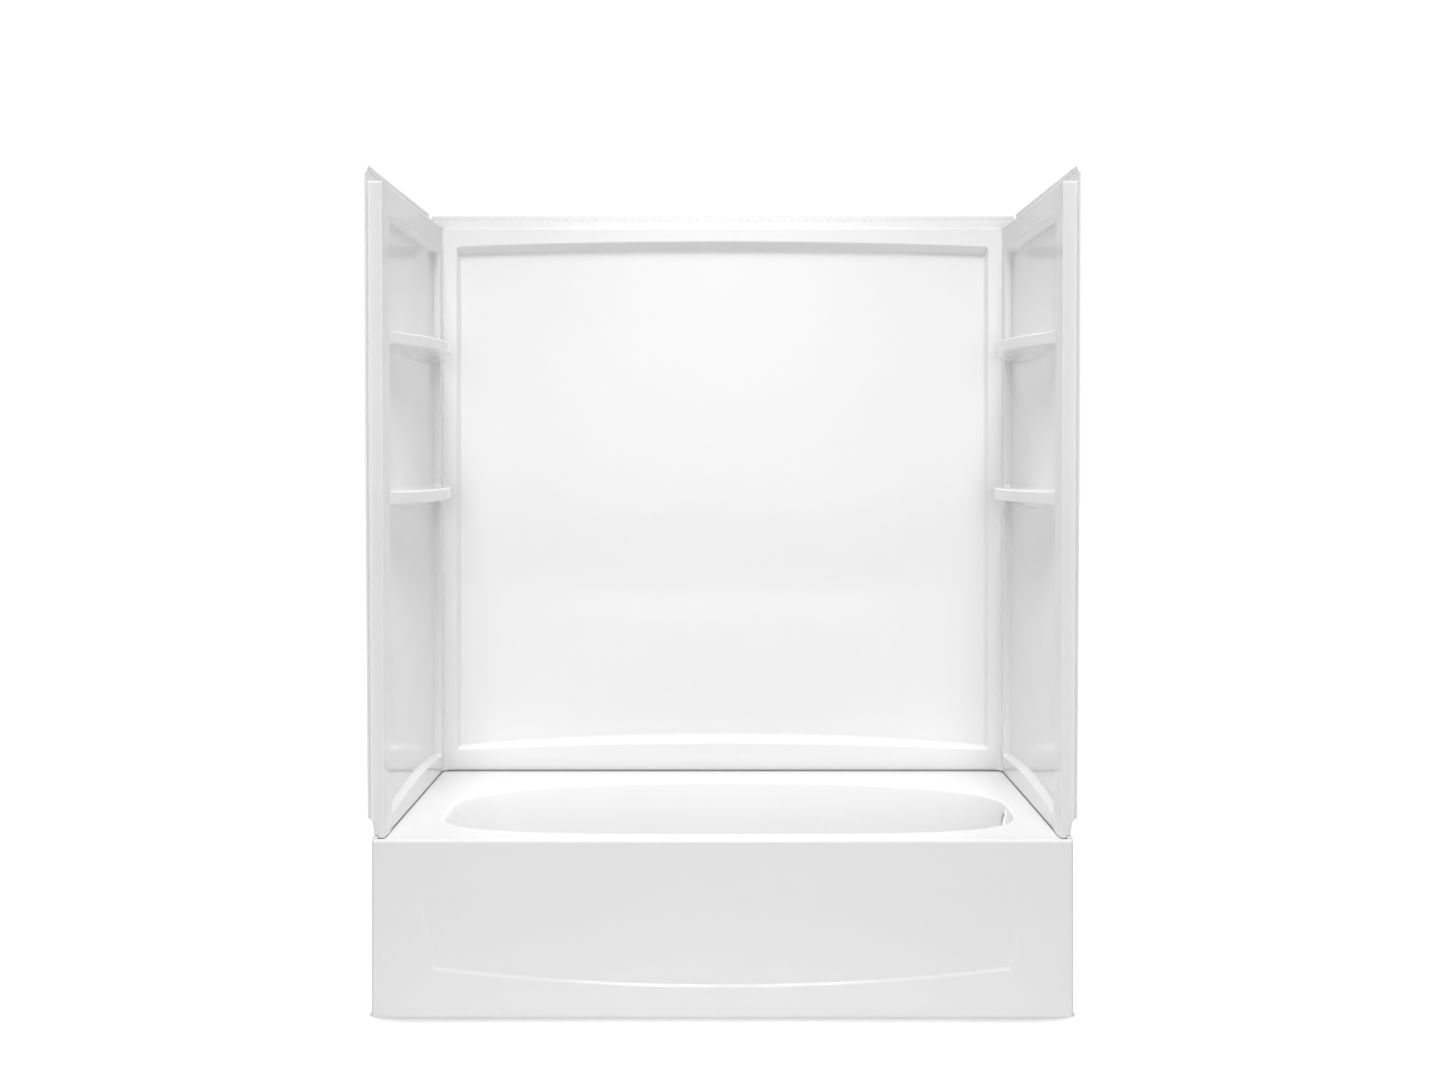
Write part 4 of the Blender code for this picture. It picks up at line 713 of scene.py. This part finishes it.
def back_points():
    """The back wall's rows and columns of points."""
    half, draft, radius = 0.689, 11 * MM, 9 * MM
    field = half - draft
    edge, fillet = 3 * MM, 3 * MM
    flange_depth, notch_depth, notch_top = 0.0400, 0.0325, 0.4053

    # Columns of the right half as (distance from the middle, depth): recess, face,
    # rounded edge, return, fillet and flange
    right = [(x, 0.0) for x in ramp(0, field - radius, 24)[1:-1] + ramp(field - radius, half, 19)]
    right += [(x, 0.0) for x in (half + 0.5 * MM, 0.700, BACK_HALF - edge - MM)]
    right += [(BACK_HALF - edge + edge * math.sin(a), edge * (1 - math.cos(a))) for a in arc(7)]
    right += [(BACK_HALF, depth) for depth in (4 * MM, 0.012, notch_depth - 0.3 * MM,
                                               notch_depth + 0.3 * MM, BACK_SET - fillet)]
    right += [(BACK_HALF + fillet * (1 - math.cos(a)), BACK_SET - fillet + fillet * math.sin(a))
              for a in arc(5, 18)]
    right += [(x, BACK_SET) for x in (BACK_HALF + fillet + MM, 0.735, BACK_FLANGE_HALF)]
    columns = [(-x, depth) for x, depth in right[::-1]] + [(0.0, 0.0)] + right
    x, side_depth = np.array(columns).T
    share = x / (half - radius)
    foot_face, foot_field, head_face, head_field = (crown(*z, share) for z in BACK_EDGES)
    one = np.ones_like(x)

    # Rows as (heights, depth): foot, face, recess, face, ledge, fillet and flange
    lines = [(PANEL_FOOT * one, depth) for depth in FOOT_DEPTHS]
    lines += [((PANEL_FOOT + MM * (1 - math.cos(a))) * one, MM * (1 - math.sin(a)))
              for a in arc(6)]
    low, high = foot_field + radius, head_field - radius
    rows = [z * one for z in ramp(PANEL_FOOT + 2 * MM, FLANGE_FOOT, 8)] + [foot_face - MM]
    rows += between(foot_face, foot_field, 14) + between(foot_field, low, 8)[1:]
    rows += between(low, high, 12)[1:-1] + between(high, head_field, 8)
    rows += between(head_field, head_face, 14)[1:] + [head_face + MM]
    lines += [(z, 0.0) for z in rows + [(LEDGE - LEDGE_RADIUS - MM) * one]]
    lines += [((LEDGE - LEDGE_RADIUS * (1 - math.sin(a))) * one, LEDGE_RADIUS * (1 - math.cos(a)))
              for a in arc(9)]
    lines += [(LEDGE * one, depth) for depth in (LEDGE_RADIUS + MM, 0.02, BACK_SET - fillet)]
    lines += [((LEDGE + fillet * (1 - math.cos(a))) * one,
               BACK_SET - fillet + fillet * math.sin(a)) for a in arc(5, 18)]
    lines += [(z * one, BACK_SET) for z in (LEDGE + fillet + MM, FLANGE_TOP)]
    z = np.array([line[0] for line in lines])
    row_depth = np.array([line[1] for line in lines])[:, None]
    lowest = np.where(side_depth > notch_depth, notch_top, 0.0)
    lowest = np.where(side_depth > flange_depth, FLANGE_FOOT, lowest)
    z = np.maximum(z, lowest[None, :])
    across = np.abs(x)[None, :] - field
    recess = np.minimum(corner_share(across, z - head_field, draft, head_face - head_field),
                        corner_share(across, foot_field - z, draft, foot_field - foot_face))
    depth = np.maximum(row_depth, side_depth[None, :]) + BACK_RECESS * eased(recess)

    # The edges lean with the end walls, and the face's foot rolls back
    edge_share = np.interp(np.abs(x), [half, BACK_HALF, BACK_FLANGE_HALF], [0, 1, 0])
    lean = math.tan(SPLAY_ANGLE) * (z - DECK) * edge_share[None, :]
    rolled = np.clip((12 * MM - side_depth) / (8 * MM), 0, 1)
    depth = depth + foot_roll(z) * rolled[None, :]
    return np.stack([x[None, :] + np.sign(x)[None, :] * lean, BACK_FACE_Y + depth, z], -1)


def finish_panel(name, shape, *slots):
    """A panel from its sheet: its wall, with the raw back, and its row of slots."""
    panel = add_object(name, shape, WALL_WHITE, WALL_BACK)
    modifier = panel.modifiers.new("wall", "SOLIDIFY")
    modifier.thickness = PANEL_WALL
    modifier.offset = -1
    modifier.use_even_offset = True
    modifier.material_offset = 1
    modifier.material_offset_rim = 0
    apply_modifiers(panel)
    boolean(panel, slot_cutters(f"{name}_slots", *slots), "DIFFERENCE")
    smooth(panel)
    return panel


def make_back_panel():
    """The back wall panel with its returns, ledge and slotted flange."""
    shape = sheet("back_panel", back_points())
    face_towards(shape, (0, BACK_FACE_Y + BACK_RECESS, 1.1), (0, -1, 0))
    middle = BACK_Y - PANEL_WALL / 2

    def place(along, depth, up):
        """A point of the wall's flange, from its own measures."""
        return along, middle + depth, up

    return finish_panel("back_panel", shape, -BACK_FLANGE_HALF, BACK_FLANGE_HALF, place)


def end_points():
    """An end wall's points as (along, depth out, height), and the cells to make."""
    front, rear, draft, radius = APRON_Y + 0.069, BACK_Y - 0.083, 9 * MM, 9 * MM
    round_radius, fillet = 3 * MM, 5 * MM
    depth_end = END_OUTSIDE - PANEL_WALL
    corner_flare, flare_end, flare_run, convexity = 3.5 * MM, 0.0155, 0.012, 4 * MM
    corner_depth = round_radius + corner_flare
    flange_front = -0.379

    def flared(depth):
        """A column's depth once the front corner is eased outward."""
        return depth + corner_flare * np.clip((flare_end - depth) / flare_run, 0, 1)

    def face_line(depth):
        """The column's face, slightly convex, from its corner out to the fillet."""
        reach = np.clip((depth - corner_depth) / (depth_end - fillet - corner_depth), 0, None)
        return END_FRONT_Y + convexity * reach ** 2

    # Columns as (along, depth, pull of the rows' own set-back): flange, fillet, the
    # column's face and rounded corner, then the face and the recess
    outer = face_line(depth_end - fillet)
    columns = [(y, depth_end, 0.0)
               for y in (flange_front, flange_front + 3.5 * MM, outer - fillet - MM / 2)]
    columns += [(outer - fillet * (1 - math.sin(a)), depth_end - fillet * (1 - math.cos(a)), 0.5)
                for a in arc(8, 0, 84)]
    columns += [(face_line(depth), depth, 1.0)
                for depth in ramp(depth_end - fillet, flare_end + MM, 6)]
    columns += [(face_line(flared(depth)), depth, 1.0)
                for depth in ramp(flare_end, round_radius + MM / 2, 6)]
    columns += [(END_FRONT_Y + round_radius * (1 - math.cos(a)), round_radius * (1 - math.sin(a)),
                 math.cos(a)) for a in arc(9)]
    face = ramp(END_FRONT_Y + round_radius + MM / 2, SHELF_FRONT_Y - MM, 14) + [SHELF_FRONT_Y]
    face += ramp(front - MM, front + draft + radius, 26)
    face += ramp(front + draft + radius, rear - draft - radius, 44)[1:-1]
    face += ramp(rear - draft - radius, rear + MM, 26)
    columns += [(y, 0.0, 0.0) for y in face + [SHELF_REAR_Y, SHELF_REAR_Y + MM, 0.335, END_REAR_Y]]
    y, side_depth, pull = np.array(columns).T
    share = (y - (front + rear) / 2) / ((rear - front) / 2 - radius)
    foot_face, foot_field, head_face, head_field = (crown(*z, share) for z in END_EDGES)
    one = np.ones_like(y)
    bow = (y - (SHELF_FRONT_Y + SHELF_REAR_Y) / 2) / ((SHELF_REAR_Y - SHELF_FRONT_Y) / 2)
    reach = SHELF_BULGE * np.clip(1 - bow ** 2, 0, None)

    # Each line is (heights, depth, set-back along Y, share of the shelf's bulge, inset
    # from the shelf's front, and the fillet where the shelf meets the field)
    lines = []

    def line(z, depth=0.0, inset_y=0.0, shelf=0.0, inset=0.0, back=0.0):
        lines.append((z * one, depth, inset_y, shelf, inset, back))

    for depth in FOOT_DEPTHS:
        line(PANEL_FOOT, depth, MM)
    for a in arc(6):
        line(PANEL_FOOT + MM * (1 - math.cos(a)), MM * (1 - math.sin(a)), MM * (1 - math.sin(a)))
    below = foot_field + radius
    for z in ([PANEL_FOOT + 2 * MM, 0.3836, 0.395, foot_face - MM]
              + between(foot_face, foot_field, 12) + between(foot_field, below, 8)[1:]):
        line(z)
    cove = 4 * MM + 21 * MM * reach / SHELF_BULGE
    cove_steps = (1.0, 0.94, 0.88, 0.8, 0.72, 0.64, 0.56, 0.48, 0.4, 0.33, 0.26, 0.2, 0.14, 0.09,
                  0.04)
    cove_power, near, over, top_radius = 2.4, 14 * MM, 5 * MM, 4 * MM
    for top in SHELF_TOPS:
        foot = top - SHELF_THICKNESS
        start = foot - cove - MM
        for z in between(below, start - near, 8)[1:-1] + between(start - near, start, 6):
            line(z)
        for q in cove_steps:
            line(foot - cove * q, shelf=(1 - q) ** cove_power)
        for a in arc(5):
            line(foot + 2 * MM * (1 - math.cos(a)), shelf=1.0, inset=2 * MM * (1 - math.sin(a)))
        for z in (foot + 3 * MM, (top + foot) / 2, top - 5 * MM):
            line(z, shelf=1.0)
        for a in arc(7):
            line(top - top_radius * (1 - math.sin(a)), shelf=1.0,
                 inset=top_radius * (1 - math.cos(a)))
        for index, s in enumerate((0.03, 0.15, 0.35, 0.6, 0.85)):
            line(top + (0.05 + 0.05 * index) * MM, shelf=1.0 - s, inset=top_radius * (1 - s),
                 back=over * s)
        for a in arc(6):
            line(top + 0.35 * MM + over * (1 - math.cos(a)), back=over * (1 - math.sin(a)))
        below = top + 7 * MM
    above = head_field - radius
    for z in (between(below, above, 8)[:-1] + between(above, head_field, 8)
              + between(head_field, head_face, 10)[1:]
              + [head_face + MM, LEDGE - LEDGE_RADIUS - MM]):
        line(z)
    for a in arc(9):
        eased_back = LEDGE_RADIUS * (1 - math.cos(a))
        line(LEDGE - LEDGE_RADIUS * (1 - math.sin(a)), eased_back, eased_back)
    for depth in (LEDGE_RADIUS + MM, depth_end - fillet):
        line(LEDGE, depth, LEDGE_RADIUS)
    for a in arc(5, 18):
        line(LEDGE + fillet * (1 - math.cos(a)), depth_end - fillet + fillet * math.sin(a),
             LEDGE_RADIUS)
    line(LEDGE + fillet + MM, depth_end, LEDGE_RADIUS)
    line(FLANGE_TOP, depth_end, LEDGE_RADIUS)

    z = np.array([entry[0] for entry in lines])
    row_depth, inset_y, shelf, inset, back = [np.array([entry[k] for entry in lines])[:, None]
                                              for k in range(1, 6)]

    # The column's own section, then rows that fold in behind it
    flare_rear = -0.30
    flare = np.clip((flare_rear - y) / (flare_rear - END_FRONT_Y), 0, 1) ** 2
    own_depth = (side_depth + flare * (flared(side_depth) - side_depth))[None, :]
    lowest = np.interp(side_depth, [0.0157, 0.0163, 0.0270, 0.0285, depth_end],
                       [0.0, 0.3850, 0.3850, 0.4050, 0.4220])
    inset_y = inset_y * (z >= lowest[None, :])
    along = y[None, :] + inset_y * pull[None, :]
    turned = face_line(np.minimum(row_depth, depth_end - fillet)) + inset_y
    along = np.where(row_depth > own_depth, np.maximum(along, turned), along)

    # The flange's chamfered ends and the notches over the bath's bead
    chamfer_rear, chamfer_run, chamfer_drop = -0.357, 0.022, 0.018
    top_here = FLANGE_TOP - chamfer_drop * np.clip((chamfer_rear - along) / chamfer_run, 0, 1)
    root = LEDGE + 3.5 * MM
    z = np.where(z > root, root + (z - root) * (top_here - root) / (FLANGE_TOP - root), z)
    z = np.maximum(z, lowest[None, :])

    # The recess, with its head and foot corners rounded
    across = np.maximum(front + draft - y, y - (rear - draft))[None, :]
    lower = corner_share(across, foot_field - z, draft, foot_field - foot_face)
    upper = corner_share(across, z - head_field, draft, head_face - head_field)
    inside = np.minimum(lower, upper)
    for top in SHELF_TOPS:
        foot = top - SHELF_THICKNESS
        under = corner_share(across, z - foot, draft, 4 * MM, 16 * MM, 12 * MM)
        above = corner_share(across, top - z, draft, 4 * MM, 8 * MM, 6 * MM)
        inside = np.minimum(inside, np.where(z < (top + foot) / 2, under, above))
    recess = END_RECESS * eased(inside)
    present = np.clip((reach[None, :] + recess) / (12 * MM), 0, 1)
    front_depth = -reach[None, :] + inset * np.clip(reach / (25 * MM), 0, 1)[None, :]
    field_depth = recess - back * present
    depth = np.maximum(row_depth, own_depth)

    # The column tapers towards its foot, and the foot behind it rolls back
    taper, taper_top, taper_run, tapered_depth = 0.05, 1.2, 0.8, 0.03
    down = np.clip((taper_top - z) / taper_run, 0, 1)
    depth = depth * (1 - taper * down * np.clip(depth / tapered_depth, 0, 1))
    depth = depth + field_depth * (1 - shelf) + front_depth * shelf
    roll_front, roll_run = -0.335, 0.05
    rolled = np.clip((y - roll_front) / roll_run, 0, 1)
    depth = depth + END_ROLL_SHARE * foot_roll(z) * rolled[None, :]
    points = np.stack([along, depth, z], -1)

    # The head's flange stops short of the corner
    cells = np.ones((z.shape[0] - 1, z.shape[1] - 1), bool)
    behind = (y[:-1] + y[1:]) / 2 > HEAD_FLANGE_REAR
    upper_rows = (row_depth[:-1, 0] + row_depth[1:, 0]) / 2 > depth_end - 1.5 * MM
    cells[np.ix_(upper_rows, behind)] = False
    return points, cells


def make_corner_bead(name, side):
    """The sealant cove down a corner, which widens where it meets the deck."""
    slim, foot_extra, foot_height = 5.5 * MM, 17 * MM, 0.045
    dip, tail = 0.1 * MM, 9 * MM
    shape = bmesh.new()
    rows = []
    heights = ([PANEL_FOOT + 0.6 * MM] + ramp(0.383, 0.43, 24) + ramp(0.46, 1.70, 12)
               + [LEDGE - 7 * MM])
    for z in heights:
        flare = max(0.0, 1 - (z - PANEL_FOOT) / foot_height)
        radius = slim + foot_extra * flare ** 2
        roll = float(foot_roll(z))
        wall = END_FACE + math.tan(SPLAY_ANGLE) * (z - DECK) + dip + END_ROLL_SHARE * roll
        face = BACK_FACE_Y + dip + roll
        edge = wall - CORNER_GAP
        row = [(wall - radius * (1 - math.cos(a)), face - radius * (1 - math.sin(a)))
               for a in arc(11)]
        row += [(edge - 2.2 * MM, face + 0.2 * MM), (edge + 0.2 * MM, face + 3.4 * MM),
                (edge + 0.2 * MM, face + tail), (wall, face + tail)]
        rows.append([(side * x, y, z) for x, y in row])
    add_tube(shape, rows)
    bmesh.ops.recalc_face_normals(shape, faces=shape.faces)
    bead = add_object(name, shape, SEALANT)
    smooth(bead, 40)
    return bead


def make_end_panel(name, side):
    """An end wall panel. side is -1 on the left and 1 on the right."""
    points, cells = end_points()
    along, depth, up = points[..., 0], points[..., 1], points[..., 2] - DECK
    lean = side * SPLAY_ANGLE
    local_x = side * depth
    x = side * END_FACE + local_x * math.cos(lean) + up * math.sin(lean)
    z = DECK - local_x * math.sin(lean) + up * math.cos(lean)
    shape = sheet(name, np.stack([x, along, z], -1), cells)
    face_towards(shape, (side * (END_FACE + END_RECESS), 0, 0.8), (-side, 0, 0))
    middle = END_OUTSIDE - PANEL_WALL / 2

    def place(along, depth, up):
        """A point of the leaning wall, from its own measures."""
        out, rise = side * (middle + depth), up - DECK
        return (side * END_FACE + out * math.cos(lean) + rise * math.sin(lean), along,
                DECK - out * math.sin(lean) + rise * math.cos(lean))

    return finish_panel(name, shape, -0.345, HEAD_FLANGE_REAR, place)


# Pieces

rebuilt = [(make_bath(), "bathtub", "bath_white"), (make_back_panel(), "back_wall", "wall_white")]
for label, side in (("left", -1), ("right", 1)):
    rebuilt.append((make_end_panel(f"{label}_end_panel", side), f"{label}_end_wall", "wall_white"))
    rebuilt.append((make_corner_bead(f"{label}_corner_bead", side), f"{label}_corner_seal",
                    "seal_white"))
for piece, node, slot in rebuilt:
    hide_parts(node)
    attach(piece, "root")

# The other nodes take the first of these materials whose part of a name they hold
# The deck seals' dark grey is painted shade for their shadowed joints
LOOKS = (("_deck_seal", deck_seal_in_painted_shade()), ("_screw_", plated_steel()), ("_clip_", clip_plastic()),
         ("", bead_foam()))
for name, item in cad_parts.items():
    if name not in [node for _, node, _ in rebuilt]:
        for slot in item.material_slots:
            slot.material = next(look for part, look in LOOKS if part in name)


# Stage

def make_floor():
    """A white floor that keeps the object's shadow, with a painted contact shadow that darkens it
    where it meets the object.
    """
    shape = bmesh.new()
    bmesh.ops.create_grid(shape, x_segments=1, y_segments=1, size=30.0)
    material, nodes, links, shader = tree_of("studio_floor")
    # Occlusion by the object paints a contact shadow into the floor's colour and glow
    painted_contact_shadow = nodes.new("ShaderNodeAmbientOcclusion")
    painted_contact_shadow.inputs["Distance"].default_value = 0.17
    painted_contact_shadow.samples = 8
    clear = spread(nodes, links, painted_contact_shadow.outputs["AO"], 0.0, 1.0, 0.5, 0.90)

    # Only the camera sees the painted contact shadow, so the floor's bounce light stays even
    camera_ray = nodes.new("ShaderNodeLightPath").outputs["Is Camera Ray"]
    other_ray = calculate(nodes, links, "SUBTRACT", 1.0, camera_ray)
    bare = calculate(nodes, links, "MAXIMUM", other_ray, clear)
    links.new(mix_colour(nodes, links, bare, (0.40, 0.40, 0.40), (0.80, 0.80, 0.80)),
              shader.inputs["Base Color"])
    shader.inputs["Roughness"].default_value = 0.9
    shader.inputs["Specular IOR Level"].default_value = 0.0

    # The camera sees a glow that lifts the floor to white away from the object, held back near it
    # as more painted contact shadow
    coordinates = nodes.new("ShaderNodeTexCoord")
    far = nodes.new("ShaderNodeVectorMath")
    far.operation = "LENGTH"
    links.new(coordinates.outputs["Object"], far.inputs[0])
    glow = calculate(nodes, links, "MULTIPLY", spread(nodes, links, clear, 0.18, 1.0, 0.0, 1.0),
                     spread(nodes, links, far.outputs["Value"], 0.80, 1.0, 0.9, 3.0))
    seen = calculate(nodes, links, "MULTIPLY", camera_ray, glow)
    shader.inputs["Emission Color"].default_value = (1, 1, 1, 1)
    links.new(seen, shader.inputs["Emission Strength"])
    return add_object("studio_floor", shape, material)


def make_world():
    """White to the camera, nearly white in reflections and a dim fill for the rest."""
    world = bpy.data.worlds.new("studio")
    bpy.context.scene.world = world
    world.use_nodes = True
    nodes, links = world.node_tree.nodes, world.node_tree.links
    nodes.clear()
    path = nodes.new("ShaderNodeLightPath")
    last = None
    for ray, strength in ((None, 0.125), ("Is Glossy Ray", 0.90), ("Is Camera Ray", 1.0)):
        background = nodes.new("ShaderNodeBackground")
        background.inputs["Color"].default_value = (1, 1, 1, 1)
        background.inputs["Strength"].default_value = strength
        if ray is None:
            last = background.outputs[0]
            continue
        choose = nodes.new("ShaderNodeMixShader")
        links.new(path.outputs[ray], choose.inputs["Fac"])
        links.new(last, choose.inputs[1])
        links.new(background.outputs[0], choose.inputs[2])
        last = choose.outputs[0]
    output = nodes.new("ShaderNodeOutputWorld")
    links.new(last, output.inputs["Surface"])


def softbox(name, place, target, size, power, glossy=False, beam=180):
    """An area lamp that looks at a point. beam is the angle it spreads over, in degrees."""
    lamp = bpy.data.lights.new(name, "AREA")
    lamp.shape = "RECTANGLE"
    lamp.size, lamp.size_y = size
    lamp.energy = power
    lamp.spread = math.radians(beam)
    item = bpy.data.objects.new(name, lamp)
    item.visible_glossy = glossy
    bpy.context.scene.collection.objects.link(item)
    item.location = place
    item.rotation_euler = (Vector(target) - Vector(place)).to_track_quat("-Z", "Y").to_euler()


def make_stage():
    """The floor, the white surround and soft light from the front, above and behind."""
    make_floor()
    make_world()
    softbox("fill_softbox", (0, -9.0, 1.6), (0, 0, 1.2), (2.4, 2.4), 176)
    softbox("key_softbox", (0, -4.5, 9.0), (0, 0.1, 1.0), (3.0, 2.0), 500)
    softbox("top_softbox", (0, -0.3, 2.9), (0, -0.3, 0.1), (0.6, 0.5), 5.0, glossy=True, beam=80)
    for label, side in (("left", -1), ("right", 1)):
        softbox(f"rear_softbox_{label}", (side * 7.5, 6.5, 1.3), (0, 0, 0.9), (1.6, 1.6), 36,
                beam=60)


def make_camera():
    """The photograph's camera: level, centred on the unit, 1.2 m above the floor."""
    lens = bpy.data.cameras.new("camera")
    lens.sensor_width = 36.0
    lens.lens = 39.1
    lens.shift_y = -0.063
    lens.clip_end = 60
    camera = bpy.data.objects.new("camera", lens)
    bpy.context.scene.collection.objects.link(camera)
    camera.location = (0, APRON_Y - 3.347, 1.207)
    camera.rotation_euler = (math.radians(90), 0, 0)
    bpy.context.scene.camera = camera


make_stage()
make_camera()
bpy.context.scene.view_settings.view_transform = "Standard"
